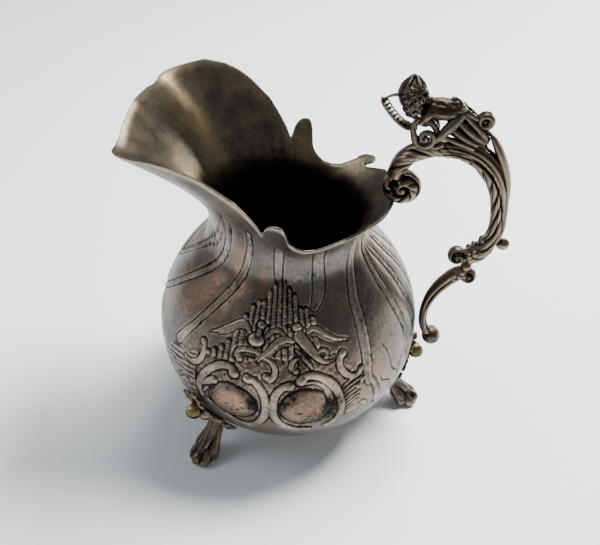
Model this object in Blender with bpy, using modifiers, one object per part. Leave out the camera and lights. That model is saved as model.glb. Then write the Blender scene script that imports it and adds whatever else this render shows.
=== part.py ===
"""Repousse silver cream jug: two stamped halves, three cast feet and a cast scroll handle with a putto.

Metres, +Z up. The handle points along +X and the spout along -X, and the plane y = 0 is the seam
between the two halves. The pieces are made about the axis of the belly and then moved together, so that
the origin is on the table under the middle of the whole jug's box.
"""
import math

import bpy
import bmesh
import numpy as np
from mathutils import Matrix, Vector

MM = 0.001

# clearances
SEAT_GAP = 0.3 * MM            # solder seam between neighbouring pieces

# sheet-silver body
WALL = 0.75 * MM
BASE_RADIUS = 14.0 * MM        # where the halves meet the bottom disc
BASE_HEIGHT = 6.6 * MM         # underside of the belly above the table
BELLY_RADIUS = 32.4 * MM       # over the raised chasing
BELLY_HEIGHT = 28.0 * MM       # height of the widest part
NECK_RADIUS = 18.2 * MM
NECK_HEIGHT = 58.0 * MM
BELLY_ROUND_OUT = 9.0 * MM     # how far the bottom runs level before it turns up
BELLY_ROUND_DOWN = 11.0 * MM   # roundness under the widest part
SHOULDER_ROUND = 20.0 * MM     # roundness above the widest part
NECK_ROUND = 6.7 * MM
LOWER_ROWS, UPPER_ROWS, FLARE_ROWS = 6, 8, 7

# flare above the neck: azimuth from the handle, reach beyond the neck, rise above the neck,
# lean of the sheet at its edge measured from level (lengths in mm, angles in degrees)
FLARE = [
    (0, 6.4, 10.0, 45), (25, 5.6, 9.8, 50), (38, 5.4, 10.2, 55), (50, 4.4, 11.0, 62),
    (63, 3.6, 12.0, 72), (81, 3.7, 14.5, 74), (90, 3.7, 15.0, 74), (100, 4.0, 17.5, 72),
    (109, 5.1, 19.6, 68), (119, 7.7, 24.4, 62), (126, 9.8, 26.4, 58), (134.5, 13.2, 27.7, 50),
    (143, 16.1, 27.2, 44), (150, 17.7, 26.2, 40), (156, 17.8, 25.9, 38), (165, 15.2, 26.6, 40),
    (180, 14.2, 28.0, 42),
]
FLARE_STIFFNESS = 0.38         # share of the flare's height over which each end stays straight

# edge that is cut into the flare: azimuth from the handle in degrees, height above the neck in mm
RIM_CUT = [
    (0, 9.5), (12, 9.4), (24.8, 9.0), (31, 8.2), (35.2, 8.0), (37, 10.2), (40.5, 9.9), (46.1, 8.6),
    (51.6, 7.0), (56.9, 5.8), (63.3, 5.4), (70.8, 6.1), (77.4, 7.4), (80.6, 9.2), (82, 12.2),
    (84.4, 14.0), (87.1, 14.8), (91.0, 14.2), (93.8, 12.6), (96.2, 11.6), (99, 13.2), (103.7, 15.9),
    (108.7, 19.1), (114.5, 22.0), (119.4, 24.4), (125.6, 26.4), (134.5, 27.7), (143, 27.2),
    (150, 26.2), (156, 25.6), (163, 26.4), (171, 27.4), (180, 28.0),
]

# feet
FOOT_AZIMUTHS = (0.0, 124.5, -124.5)   # degrees from the handle
SOLE_INSET = 0.9 * MM          # middle of a sole inside the belly's widest line
PAW_LENGTH = 8.4 * MM
PAW_HALF_WIDTH = 3.7 * MM
PAW_HEIGHT = 5.2 * MM
ANKLE_RADIUS = 1.9 * MM
LEG_SEAT_HEIGHT = 11.2 * MM    # height on the belly where a leg is soldered on
LEG_END_GAP = 0.5 * MM         # from the belly to the middle of the leg's flat end
# along the paw from its heel: share of its length, share of its height, and the half height and
# half width of the section as shares of the paw's height and half width
PAW_SECTIONS = [(0.28, 0.95, 0.40, 0.74), (0.50, 0.52, 0.50, 0.95), (0.75, 0.30, 0.46, 1.0),
                (0.95, 0.18, 0.24, 0.66)]
ANKLE_DROP = 0.77              # height of the ankle's middle as a share of the knee's
ANKLE_FORWARD = 0.9 * MM       # middle of the ankle in front of the heel
TOE_LOBE = 0.1                 # share by which the three toes swell the section
LEG_SIDES, LEG_STEPS = 14, 12
BRACKET_THICKNESS = 1.0 * MM
BRACKET_SPREAD = 16.0          # degrees to each side of its foot
BRACKET_LOW = 13.4 * MM        # lower edge of the bracket over the leg
BRACKET_HIGH = 17.4 * MM       # upper edge of the bracket over the leg
BRACKET_TIP_HEIGHT = 15.2 * MM
BRACKET_TIP_HALF = 1.2 * MM
BRACKET_TAPER = 1.3            # how late the plate narrows to its tips
BRACKET_COLUMNS, BRACKET_ROWS = 10, 4
BEAD_RADIUS = 2.0 * MM
BEAD_SEAT_HEIGHT = 20.6 * MM

# handle, all in the plane y = 0
RIM_VOLUTE_RADIUS = 4.2 * MM
RIM_VOLUTE_HALF_WIDTH = 2.4 * MM
RIM_VOLUTE_RISE = 2.6 * MM     # its centre above the rim
RIM_VOLUTE_OUT = 0.7 * MM      # its centre outside the rim
MID_VOLUTE_RADIUS = 2.2 * MM
MID_VOLUTE_HALF_WIDTH = 2.0 * MM
# upper scroll from the rim volute over the arch to the mid volute:
# outward and upward from the centre of the rim volute, and thickness radius, all in mm
ARCH = [
    (-2.0, 2.7, 1.75), (-0.8, 6.0, 1.85), (1.9, 8.7, 1.9), (5.7, 10.0, 1.9), (10.2, 10.1, 2.0),
    (14.3, 8.6, 2.1), (17.4, 5.6, 2.1), (19.5, 1.6, 1.8), (20.4, -2.1, 1.55), (20.9, -6.1, 1.4),
    (21.0, -9.6, 1.45), (20.5, -12.8, 1.7), (19.0, -15.8, 2.0), (16.6, -17.8, 1.9),
]
MID_VOLUTE_AT = (14.1 * MM, -17.7 * MM)
ARCH_STEPS = 34
ARCH_FLATNESS = 1.12           # width across the handle over thickness

# lower scroll: share of the way from the belly seat (0, 0) to its crest (1, 1), radius in mm
LOWER_SCROLL = [
    (1.02, 0.98, 1.8), (0.75, 0.87, 1.95), (0.44, 0.70, 1.75), (0.22, 0.53, 1.5),
    (0.08, 0.35, 1.25), (0.01, 0.18, 1.1), (0.0, 0.0, 1.1), (0.08, -0.13, 1.25),
    (0.24, -0.25, 1.6),
]
LOWER_SEAT_HEIGHT = 31.4 * MM  # where the scroll meets the belly
LOWER_SEAT_RADIUS = 1.1 * MM
CREST_RADIUS = 1.8 * MM
CREST_SHIFT = 1.8 * MM         # crest outside the middle of the mid volute
CREST_BALL_RADIUS = 2.1 * MM
END_BALL_RADIUS = 2.5 * MM
CREST_BALL_SHIFT = (0.7, -0.5)   # from the scroll's end, as shares of the ball's radius
END_BALL_SHIFT = (0.4, -0.3)
LOWER_STEPS = 20
LOWER_FLATNESS = 1.1

# leaf and bud on the outer side of the arch
LEAF_HALF_THICKNESS = 0.55 * MM
LEAF_FLATNESS = 3.4
LEAF_FROM, LEAF_TO = 0.40, 0.81   # share of the arch's length that the leaf covers
LEAF_TIP_LIFT = 2.6 * MM
LEAF_STEPS = 14
LEAF_TAPER = 4                 # its thickness and lift run out over a quarter of its length
LEAF_END_THICKNESS = 0.4       # share of the thickness that is left at its tips
BUD_AT = 0.875                 # share of the arch's length
BUD_RADIUS = 1.35 * MM
BUD_LENGTH_RATIO = 1.2

# figure, outward and upward from the centre of the rim volute, with radius, in mm
HEAD_AT = (0.3, 22.1)
HEAD_RADIUS = 3.25 * MM
HEAD_TALLNESS = 1.12
HEAD_NARROWNESS = 0.95
VOXEL = 0.62 * MM              # grain of the cast figure
TRUNK = [(4.0, 19.2, 0.8), (5.1, 19.5, 1.75), (7.2, 19.3, 1.75), (9.1, 19.4, 1.9)]
HIP_SIDE = 1.35 * MM           # hips from the middle plane
NEAR_THIGH = [(9.1, 18.5, 1.25), (8.2, 16.2, 1.15), (6.3, 13.1, 0.85)]
FAR_LEG = [(9.4, 19.0, 1.15), (11.2, 18.2, 0.95), (11.9, 17.5, 0.75)]
SHOULDER_SIDE = 1.7 * MM
ARM = [(4.7, 19.0, 0.85), (3.4, 18.0, 0.75), (2.5, 17.1, 0.65)]
SCROLL_CENTRE = (3.3, 13.9)
SCROLL_SIDE = 2.6 * MM         # the two C-scrolls straddle the arch
SCROLL_PATH_RADIUS = 2.1 * MM
SCROLL_HALF = 0.7 * MM
SCROLL_START, SCROLL_SWEEP = 118.0, 265.0   # degrees
SCROLL_TIGHTENING = 0.48
SCROLL_THINNING = 0.35
SCROLL_FLATNESS = 1.1
SCROLL_STEPS = 16
CREST_PATH = [
    (1.2, 14.3, 0.7), (-0.3, 14.4, 0.75), (-1.9, 15.1, 0.8), (-3.6, 16.9, 0.85), (-4.7, 19.0, 0.8),
    (-5.1, 20.8, 0.45),
]
CREST_FLATNESS = 2.0
CREST_STEPS = 12
DRAPE_PATH = [
    (10.3, 16.2, 0.9), (10.7, 14.5, 1.15), (12.1, 13.2, 1.15), (13.7, 12.3, 0.8), (15.0, 11.5, 0.6),
]
DRAPE_FLATNESS = 1.4
DRAPE_STEPS = 10
HEEL_RING_AT = (14.9, 16.8)
HEEL_RING_RADIUS = 1.15 * MM
HEEL_RING_HALF = 0.75 * MM
HEEL_RING_FLATNESS = 1.5
HEEL_RING_SIDES, HEEL_TUBE_SIDES = 16, 8
HEEL_BEAD_AT = (16.0, 13.9)
HEEL_BEAD_RADIUS = 0.65 * MM

MATERIALS = {                  # base colour, roughness
    "sheet_silver": ((0.42, 0.38, 0.34), 0.34),
    "cast_silver": ((0.30, 0.25, 0.20), 0.38),
    "gilt_bead": ((0.52, 0.42, 0.20), 0.30),
}


def clear_scene():
    for thing in list(bpy.data.objects):
        bpy.data.objects.remove(thing, do_unlink=True)


def new_collection(name):
    collection = bpy.data.collections.new(name)
    bpy.context.scene.collection.children.link(collection)
    return collection


def material(name, finish):
    colour, roughness = MATERIALS[finish]
    metal = bpy.data.materials.new(name)
    metal.use_nodes = True
    shader = metal.node_tree.nodes["Principled BSDF"]
    shader.inputs["Base Color"].default_value = (*colour, 1.0)
    shader.inputs["Roughness"].default_value = roughness
    shader.inputs["Metallic"].default_value = 1.0
    return metal


def add_object(name, mesh, collection, finish=None):
    thing = bpy.data.objects.new(name, mesh)
    collection.objects.link(thing)
    if finish:
        thing.data.materials.append(material(name, finish))
    if collection is CUTTERS:
        thing.hide_render = True
        thing.display_type = "WIRE"
    return thing


def bezier(p0, p1, p2, p3, t):
    t = np.asarray(t)[..., None]
    return (1 - t) ** 3 * p0 + 3 * (1 - t) ** 2 * t * p1 + 3 * (1 - t) * t * t * p2 + t ** 3 * p3


def lower_profile(t):
    """Radius and height from the bottom disc up to the widest part."""
    start = np.array([BASE_RADIUS, BASE_HEIGHT])
    end = np.array([BELLY_RADIUS, BELLY_HEIGHT])
    return bezier(start, start + [BELLY_ROUND_OUT, 0], end - [0, BELLY_ROUND_DOWN], end, t)


def upper_profile(t):
    """Radius and height from the widest part up to the neck."""
    start = np.array([BELLY_RADIUS, BELLY_HEIGHT])
    end = np.array([NECK_RADIUS, NECK_HEIGHT])
    return bezier(start, start + [0, SHOULDER_ROUND], end - [0, NECK_ROUND], end, t)


FINE = np.linspace(0, 1, 121)
BELLY_CURVE = np.vstack([lower_profile(FINE), upper_profile(FINE)[1:]])


def belly_point(height):
    """Point and outward normal of the belly's outer face in the (radius, height) plane."""
    radius = np.interp(height, BELLY_CURVE[:, 1], BELLY_CURVE[:, 0])
    step = 0.2 * MM            # short enough to read the slope
    slope = np.interp(height + step, BELLY_CURVE[:, 1], BELLY_CURVE[:, 0]) - radius
    normal = np.array([step, -slope])
    return np.array([radius, height]), normal / np.linalg.norm(normal)


def flare_curve(azimuth):
    """Fine points of the flare at one azimuth, from the neck to the full reach of the sheet."""
    angles = [row[0] for row in FLARE]
    reach, rise, lean = (np.interp(azimuth, angles, [row[k] for row in FLARE]) for k in (1, 2, 3))
    start = np.array([NECK_RADIUS, NECK_HEIGHT])
    end = start + np.array([reach, rise]) * MM
    pull = FLARE_STIFFNESS * np.linalg.norm(end - start)
    lean = math.radians(lean)
    edge_direction = np.array([math.cos(lean), math.sin(lean)])
    return bezier(start, start + [0, pull], end - edge_direction * pull, end, FINE)


def rim_point(azimuth):
    """Radius and height of the cut edge at one azimuth."""
    curve = flare_curve(azimuth)
    cut = NECK_HEIGHT + MM * np.interp(azimuth, [row[0] for row in RIM_CUT], [row[1] for row in RIM_CUT])
    share = np.interp(cut, curve[:, 1], FINE)
    return np.array([np.interp(share, FINE, curve[:, 0]), np.interp(share, FINE, curve[:, 1])]), share


def body_column(azimuth):
    """Outer face at one azimuth, from the bottom disc to the cut edge."""
    low = lower_profile(np.linspace(0, 1, LOWER_ROWS + 1))
    high = upper_profile(np.linspace(0, 1, UPPER_ROWS + 1))[1:]
    shares = np.linspace(0, rim_point(azimuth)[1], FLARE_ROWS + 1)[1:]
    curve = flare_curve(azimuth)
    flare = np.stack([np.interp(shares, FINE, curve[:, k]) for k in (0, 1)], -1)
    return np.vstack([low, high, flare])


def body_half(name, side):
    """One stamped half: an open sheet between the seam planes, thickened inwards."""
    sheet = bmesh.new()
    columns = []
    for azimuth, _ in RIM_CUT:
        angle = math.radians(azimuth)
        column = []
        for radius, height in body_column(azimuth):
            across = radius * math.sin(angle) + SEAT_GAP / 2
            column.append(sheet.verts.new((radius * math.cos(angle), side * across, height)))
        columns.append(column)
    for left, right in zip(columns, columns[1:]):
        for k in range(len(left) - 1):
            corners = (left[k], right[k], right[k + 1], left[k + 1])
            sheet.faces.new(corners if side > 0 else corners[::-1])
    mesh = bpy.data.meshes.new(name)
    sheet.to_mesh(mesh)
    sheet.free()
    half = add_object(name, mesh, PARTS, "sheet_silver")
    half.data.shade_smooth()
    solid = half.modifiers.new("wall", "SOLIDIFY")
    solid.thickness = WALL
    solid.offset = -1
    return half


def base_plate():
    """Disc soldered into the opening at the bottom of the two halves."""
    disc = bmesh.new()
    bmesh.ops.create_cone(disc, cap_ends=True, segments=36, radius1=BASE_RADIUS - SEAT_GAP,
                          radius2=BASE_RADIUS - SEAT_GAP, depth=WALL)
    bmesh.ops.translate(disc, verts=disc.verts, vec=(0, 0, BASE_HEIGHT + WALL / 2))
    mesh = bpy.data.meshes.new("base_plate")
    disc.to_mesh(mesh)
    disc.free()
    return add_object("base_plate", mesh, PARTS, "sheet_silver")


def smooth_path(points, steps):
    """Evenly spread points on a smooth curve through rows of any width."""
    points = np.asarray(points, float)
    padded = np.vstack([2 * points[0] - points[1], points, 2 * points[-1] - points[-2]])
    fine = []
    for a, b, c, d in zip(padded, padded[1:], padded[2:], padded[3:]):
        for t in np.linspace(0, 1, 12, endpoint=False):
            fine.append(0.5 * (2 * b + (c - a) * t + (2 * a - 5 * b + 4 * c - d) * t ** 2
                               + (3 * b - a - 3 * c + d) * t ** 3))
    fine = np.array(fine + [points[-1]])
    along = np.r_[0, np.cumsum(np.linalg.norm(np.diff(fine[:, :2], axis=0), axis=1))]
    marks = np.linspace(0, along[-1], steps + 1)
    return np.stack([np.interp(marks, along, fine[:, k]) for k in range(points.shape[1])], -1)


def rod(name, path, collection, flatness=1.0, finish=None, resolution=2):
    """Closed rod along (x, z, radius) rows in the plane y = 0, widened across that plane."""
    curve = bpy.data.curves.new(name, "CURVE")
    curve.dimensions = "3D"
    curve.bevel_depth = 1.0
    curve.bevel_resolution = resolution
    curve.use_fill_caps = True
    spline = curve.splines.new("POLY")
    spline.points.add(len(path) - 1)
    for point, (x, z, radius) in zip(spline.points, path):
        point.co = (x, 0, z, 1)
        point.radius = radius
    guide = bpy.data.objects.new(name + "_guide", curve)
    CUTTERS.objects.link(guide)
    bpy.context.view_layer.update()
    mesh = bpy.data.meshes.new_from_object(guide.evaluated_get(bpy.context.evaluated_depsgraph_get()))
    bpy.data.objects.remove(guide, do_unlink=True)
    skin = bmesh.new()
    skin.from_mesh(mesh)
    bmesh.ops.remove_doubles(skin, verts=skin.verts, dist=0.00001)
    bmesh.ops.scale(skin, vec=(1, flatness, 1), verts=skin.verts)
    bmesh.ops.recalc_face_normals(skin, faces=skin.faces)
    skin.to_mesh(mesh)
    skin.free()
    mesh.name = name
    mesh.shade_smooth()
    return add_object(name, mesh, collection, finish)


def ball(name, centre, radii, collection, finish=None, segments=12):
    shape = bmesh.new()
    place = Matrix.Translation(Vector(centre)) @ Matrix.Diagonal((*radii, 1))
    bmesh.ops.create_uvsphere(shape, u_segments=segments, v_segments=segments * 2 // 3, radius=1,
                              matrix=place)
    mesh = bpy.data.meshes.new(name)
    shape.to_mesh(mesh)
    shape.free()
    mesh.shade_smooth()
    return add_object(name, mesh, collection, finish)


def boolean(thing, other, operation):
    change = thing.modifiers.new(other.name, "BOOLEAN")
    change.operation = operation
    change.object = other
    change.solver = "EXACT"


def foot_leg_mesh():
    """S-curved leg with a lobed paw, cut level at the sole; local +X points away from the jug."""
    seat, normal = belly_point(LEG_SEAT_HEIGHT)
    knee = seat + normal * (ANKLE_RADIUS + SEAT_GAP)
    heel = BELLY_RADIUS - SOLE_INSET - PAW_LENGTH / 2
    rows = [
        (*(seat + normal * LEG_END_GAP), ANKLE_RADIUS, ANKLE_RADIUS),
        (*knee, ANKLE_RADIUS, ANKLE_RADIUS),
        (heel + ANKLE_FORWARD, knee[1] * ANKLE_DROP, ANKLE_RADIUS, ANKLE_RADIUS),
    ]
    for along, up, half_height, half_width in PAW_SECTIONS:
        rows.append((heel + PAW_LENGTH * along, PAW_HEIGHT * up,
                     PAW_HEIGHT * half_height, PAW_HALF_WIDTH * half_width))
    path = smooth_path(rows, LEG_STEPS)
    skin = bmesh.new()
    rings = []
    tangents = np.gradient(path[:, :2], axis=0)
    for k, (x, z, half_height, half_width) in enumerate(path):
        tangent = tangents[k] / np.linalg.norm(tangents[k])
        ring = []
        for j in range(LEG_SIDES):
            angle = 2 * math.pi * j / LEG_SIDES
            lobe = 1 + TOE_LOBE * (k / len(path)) * math.cos(3 * angle)
            lift = half_height * math.cos(angle) * lobe
            ring.append(skin.verts.new((x - tangent[1] * lift, half_width * math.sin(angle) * lobe,
                                        z + tangent[0] * lift)))
        rings.append(ring)
    for near, far in zip(rings, rings[1:]):
        for j in range(LEG_SIDES):
            after = (j + 1) % LEG_SIDES
            skin.faces.new((near[j], near[after], far[after], far[j]))
    skin.faces.new(rings[0][::-1])
    skin.faces.new(rings[-1])
    bmesh.ops.recalc_face_normals(skin, faces=skin.faces)
    cut = bmesh.ops.bisect_plane(skin, geom=skin.verts[:] + skin.edges[:] + skin.faces[:],
                                 plane_co=(0, 0, 0), plane_no=(0, 0, -1), clear_outer=True)
    sole = [part for part in cut["geom_cut"] if isinstance(part, bmesh.types.BMEdge)]
    bmesh.ops.edgeloop_fill(skin, edges=sole)
    bmesh.ops.recalc_face_normals(skin, faces=skin.faces)
    mesh = bpy.data.meshes.new("foot_leg")
    skin.to_mesh(mesh)
    skin.free()
    mesh.shade_smooth()
    mesh.set_sharp_from_angle(angle=math.radians(50))
    return mesh


def foot_bracket_mesh():
    """Leafy plate that follows the belly to both sides of the leg."""
    skin = bmesh.new()
    columns = []
    for u in np.linspace(-1, 1, BRACKET_COLUMNS + 1):
        taper = abs(u) ** BRACKET_TAPER
        angle = math.radians(BRACKET_SPREAD * u)
        low = BRACKET_LOW + (BRACKET_TIP_HEIGHT - BRACKET_TIP_HALF - BRACKET_LOW) * taper
        high = BRACKET_HIGH + (BRACKET_TIP_HEIGHT + BRACKET_TIP_HALF - BRACKET_HIGH) * taper
        column = []
        for height in np.linspace(low, high, BRACKET_ROWS + 1):
            point, normal = belly_point(height)
            radius, level = point + normal * SEAT_GAP
            column.append(skin.verts.new((radius * math.cos(angle), radius * math.sin(angle), level)))
        columns.append(column)
    for left, right in zip(columns, columns[1:]):
        for k in range(BRACKET_ROWS):
            skin.faces.new((left[k], right[k], right[k + 1], left[k + 1]))
    mesh = bpy.data.meshes.new("foot_bracket")
    skin.to_mesh(mesh)
    skin.free()
    mesh.shade_smooth()
    return mesh


def feet():
    leg_mesh, bracket_mesh = foot_leg_mesh(), foot_bracket_mesh()
    seat, normal = belly_point(BEAD_SEAT_HEIGHT)
    bead_centre = seat + normal * (SEAT_GAP + BEAD_RADIUS)
    for label, azimuth in zip(("handle", "far", "near"), FOOT_AZIMUTHS):
        turn = math.radians(azimuth)
        leg = add_object(f"foot_leg_{label}", leg_mesh.copy(), PARTS, "cast_silver")
        bracket = add_object(f"foot_bracket_{label}", bracket_mesh.copy(), PARTS, "cast_silver")
        plate = bracket.modifiers.new("plate", "SOLIDIFY")
        plate.thickness = BRACKET_THICKNESS
        plate.offset = 1
        bead = ball(f"foot_bead_{label}", (bead_centre[0], 0, bead_centre[1]), [BEAD_RADIUS] * 3,
                    PARTS, "gilt_bead")
        for piece in (leg, bracket, bead):
            piece.rotation_euler.z = turn


def rim_volute_centre():
    edge = rim_point(0)[0]
    return edge + np.array([RIM_VOLUTE_OUT, RIM_VOLUTE_RISE])


def from_volute(x, z):
    """Place a handle or figure point, given in mm from the rim volute's centre."""
    return rim_volute_centre() + np.array([x, z]) * MM


def placed(rows):
    return [(*from_volute(x, z), radius * MM) for x, z, radius in rows]


def arch_path():
    return smooth_path(placed(ARCH), ARCH_STEPS)


def rim_saddle():
    """Thick copy of the body's sheet near the handle, which cuts the slot that sits over the rim."""
    sheet = bmesh.new()
    columns = []
    for azimuth in (-32, -20, -10, 0, 10, 20, 32):
        angle = math.radians(azimuth)
        column = body_column(abs(azimuth))[-FLARE_ROWS:]
        top = column[-1] + (column[-1] - column[-2]) / np.linalg.norm(column[-1] - column[-2]) * SEAT_GAP
        columns.append([sheet.verts.new((r * math.cos(angle), r * math.sin(angle), z))
                        for r, z in np.vstack([column, top])])
    for left, right in zip(columns, columns[1:]):
        for k in range(len(left) - 1):
            sheet.faces.new((left[k], right[k], right[k + 1], left[k + 1]))
    mesh = bpy.data.meshes.new("rim_saddle")
    sheet.to_mesh(mesh)
    sheet.free()
    saddle = add_object("rim_saddle", mesh, CUTTERS)
    solid = saddle.modifiers.new("slot", "SOLIDIFY")
    solid.thickness = WALL + 2 * SEAT_GAP
    solid.offset = -1 + 2 * SEAT_GAP / solid.thickness
    return saddle


def handle_upper_scroll():
    scroll = rod("handle_upper_scroll", arch_path(), PARTS, ARCH_FLATNESS, "cast_silver")
    centre = rim_volute_centre()
    rim_volute = ball("rim_volute", (centre[0], 0, centre[1]),
                      (RIM_VOLUTE_RADIUS, RIM_VOLUTE_HALF_WIDTH, RIM_VOLUTE_RADIUS), CUTTERS, segments=16)
    middle = centre + np.array(MID_VOLUTE_AT)
    mid_volute = ball("mid_volute", (middle[0], 0, middle[1]),
                      (MID_VOLUTE_RADIUS, MID_VOLUTE_HALF_WIDTH, MID_VOLUTE_RADIUS), CUTTERS)
    boolean(scroll, rim_volute, "UNION")
    boolean(scroll, mid_volute, "UNION")
    boolean(scroll, rim_saddle(), "DIFFERENCE")
    return scroll


def handle_back_leaf():
    """Smooth leaf laid on the outer side of the arch, its tip lifted towards the heels."""
    path = arch_path()
    first, last = (int(round(share * ARCH_STEPS)) for share in (LEAF_FROM, LEAF_TO))
    tangents = np.gradient(path[:, :2], axis=0)
    rows = []
    for k in range(first, last + 1):
        tangent = tangents[k] / np.linalg.norm(tangents[k])
        outward = np.array([-tangent[1], tangent[0]])
        share = (k - first) / (last - first)
        lift = LEAF_TIP_LIFT * max(0.0, 1 - LEAF_TAPER * share)
        place = path[k, :2] + outward * (path[k, 2] + SEAT_GAP + LEAF_HALF_THICKNESS + lift)
        thickness = LEAF_END_THICKNESS + LEAF_TAPER * min(share, 1 - share)
        rows.append((*place, LEAF_HALF_THICKNESS * min(1, thickness)))
    return rod("handle_back_leaf", smooth_path(rows, LEAF_STEPS), PARTS, LEAF_FLATNESS, "cast_silver")


def handle_bud():
    path = arch_path()
    k = int(round(BUD_AT * ARCH_STEPS))
    centre = path[k, :2] + np.array([path[k, 2] + SEAT_GAP + BUD_RADIUS * BUD_LENGTH_RATIO, 0])
    return ball("handle_bud", (centre[0], 0, centre[1]),
                (BUD_RADIUS * BUD_LENGTH_RATIO, BUD_RADIUS, BUD_RADIUS), PARTS, "cast_silver", segments=10)


def handle_lower_scroll():
    """Slender scroll from the crest under the mid volute down to its seat on the belly."""
    seat = belly_point(LOWER_SEAT_HEIGHT)[0] + np.array([SEAT_GAP + LOWER_SEAT_RADIUS, 0])
    middle = rim_volute_centre() + np.array(MID_VOLUTE_AT)
    crest = middle - np.array([0, MID_VOLUTE_RADIUS + SEAT_GAP + CREST_RADIUS])
    crest[0] += CREST_SHIFT
    span = crest - seat
    rows = [(*(seat + span * (x, z)), radius * MM) for x, z, radius in LOWER_SCROLL]
    scroll = rod("handle_lower_scroll", smooth_path(rows, LOWER_STEPS), PARTS, LOWER_FLATNESS, "cast_silver")
    for label, row, shift, radius in (("crest_ball", rows[0], CREST_BALL_SHIFT, CREST_BALL_RADIUS),
                                      ("end_ball", rows[-1], END_BALL_SHIFT, END_BALL_RADIUS)):
        centre = np.array(row[:2]) + np.array(shift) * radius
        boolean(scroll, ball(label, (centre[0], 0, centre[1]), [radius] * 3, CUTTERS), "UNION")
    return scroll


def add_limb(shape, rows, side_offset):
    """Chain of round joints and tapered bones along (x, z, radius) rows."""
    points = [Vector((x, side_offset, z)) for x, z, _ in rows]
    for point, (_, _, radius) in zip(points, rows):
        bmesh.ops.create_uvsphere(shape, u_segments=12, v_segments=8, radius=radius,
                                  matrix=Matrix.Translation(point))
    for a, b, row_a, row_b in zip(points, points[1:], rows, rows[1:]):
        bone = b - a
        place = Matrix.Translation((a + b) / 2) @ bone.to_track_quat("Z", "Y").to_matrix().to_4x4()
        bmesh.ops.create_cone(shape, cap_ends=True, segments=12, radius1=row_a[2], radius2=row_b[2],
                              depth=bone.length, matrix=place)


def cast_form(name, shape, smoothing=4):
    """Fuse overlapping lumps into one smooth casting."""
    mesh = bpy.data.meshes.new(name)
    shape.to_mesh(mesh)
    shape.free()
    form = add_object(name, mesh, PARTS, "cast_silver")
    fuse = form.modifiers.new("fuse", "REMESH")
    fuse.mode = "VOXEL"
    fuse.voxel_size = VOXEL
    fuse.use_smooth_shade = True
    soften = form.modifiers.new("soften", "SMOOTH")
    soften.iterations = smoothing
    return form


def putto_body():
    shape = bmesh.new()
    add_limb(shape, placed(TRUNK), 0.0)
    add_limb(shape, placed(NEAR_THIGH), -HIP_SIDE)
    add_limb(shape, placed(FAR_LEG), HIP_SIDE / 2)
    for side in (-1, 1):
        add_limb(shape, placed(ARM), side * SHOULDER_SIDE)
    return cast_form("putto_body", shape)


def putto_head():
    """Round head under a cap of curls."""
    centre = from_volute(*HEAD_AT)
    shape = bmesh.new()
    shape_matrix = Matrix.Diagonal((1, HEAD_NARROWNESS, HEAD_TALLNESS, 1))
    place = Matrix.Translation((centre[0], 0, centre[1])) @ shape_matrix
    bmesh.ops.create_icosphere(shape, subdivisions=3, radius=HEAD_RADIUS, matrix=place)
    mesh = bpy.data.meshes.new("putto_head")
    shape.to_mesh(mesh)
    shape.free()
    mesh.shade_smooth()
    return add_object("putto_head", mesh, PARTS, "cast_silver")


def figure_scrolls():
    """Pair of small C-scrolls that straddle the arch under the figure's hands."""
    centre = from_volute(*SCROLL_CENTRE)
    rows = []
    for share in np.linspace(0, 1, SCROLL_STEPS + 1):
        angle = math.radians(SCROLL_START + SCROLL_SWEEP * share)
        radius = SCROLL_PATH_RADIUS * (1 - SCROLL_TIGHTENING * share)
        rows.append((centre[0] + radius * math.cos(angle), centre[1] + radius * math.sin(angle),
                     SCROLL_HALF * (1 - SCROLL_THINNING * share)))
    for label, side in (("near", -1), ("far", 1)):
        scroll = rod(f"figure_scroll_{label}", rows, PARTS, SCROLL_FLATNESS, "cast_silver")
        scroll.location.y = side * SCROLL_SIDE


def figure_crest():
    path = smooth_path(placed(CREST_PATH), CREST_STEPS)
    return rod("figure_crest", path, PARTS, CREST_FLATNESS, "cast_silver")


def figure_drape():
    """Fold of drapery that carries the hips on the arch."""
    path = smooth_path(placed(DRAPE_PATH), DRAPE_STEPS)
    return rod("figure_drape", path, PARTS, DRAPE_FLATNESS, "cast_silver")


def heel_bead():
    x, z = from_volute(*HEEL_BEAD_AT)
    return ball("heel_bead", (x, 0, z), [HEEL_BEAD_RADIUS] * 3, PARTS, "cast_silver", segments=10)


def heel_scroll():
    """Open curl under the heels, carried by the tip of the back leaf."""
    centre = from_volute(*HEEL_RING_AT)
    ring = bmesh.new()
    rings = []
    for i in range(HEEL_RING_SIDES):
        turn = 2 * math.pi * i / HEEL_RING_SIDES
        section = []
        for j in range(HEEL_TUBE_SIDES):
            angle = 2 * math.pi * j / HEEL_TUBE_SIDES
            radius = HEEL_RING_RADIUS + HEEL_RING_HALF * math.cos(angle)
            section.append(ring.verts.new((centre[0] + radius * math.cos(turn),
                                           HEEL_RING_HALF * HEEL_RING_FLATNESS * math.sin(angle),
                                           centre[1] + radius * math.sin(turn))))
        rings.append(section)
    for near, far in zip(rings, rings[1:] + rings[:1]):
        for j in range(HEEL_TUBE_SIDES):
            after = (j + 1) % HEEL_TUBE_SIDES
            ring.faces.new((near[j], far[j], far[after], near[after]))
    bmesh.ops.recalc_face_normals(ring, faces=ring.faces)
    mesh = bpy.data.meshes.new("heel_scroll")
    ring.to_mesh(mesh)
    ring.free()
    mesh.shade_smooth()
    return add_object("heel_scroll", mesh, PARTS, "cast_silver")


def centre_on_origin():
    """Move the finished jug along x until the middle of its box is over the origin."""
    bpy.context.view_layer.update()
    graph = bpy.context.evaluated_depsgraph_get()
    reach = []
    for piece in PARTS.objects:
        shown = piece.evaluated_get(graph)
        reach += [(shown.matrix_world @ Vector(corner)).x for corner in shown.bound_box]
    for thing in list(PARTS.objects) + list(CUTTERS.objects):
        thing.location.x -= (min(reach) + max(reach)) / 2


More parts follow.
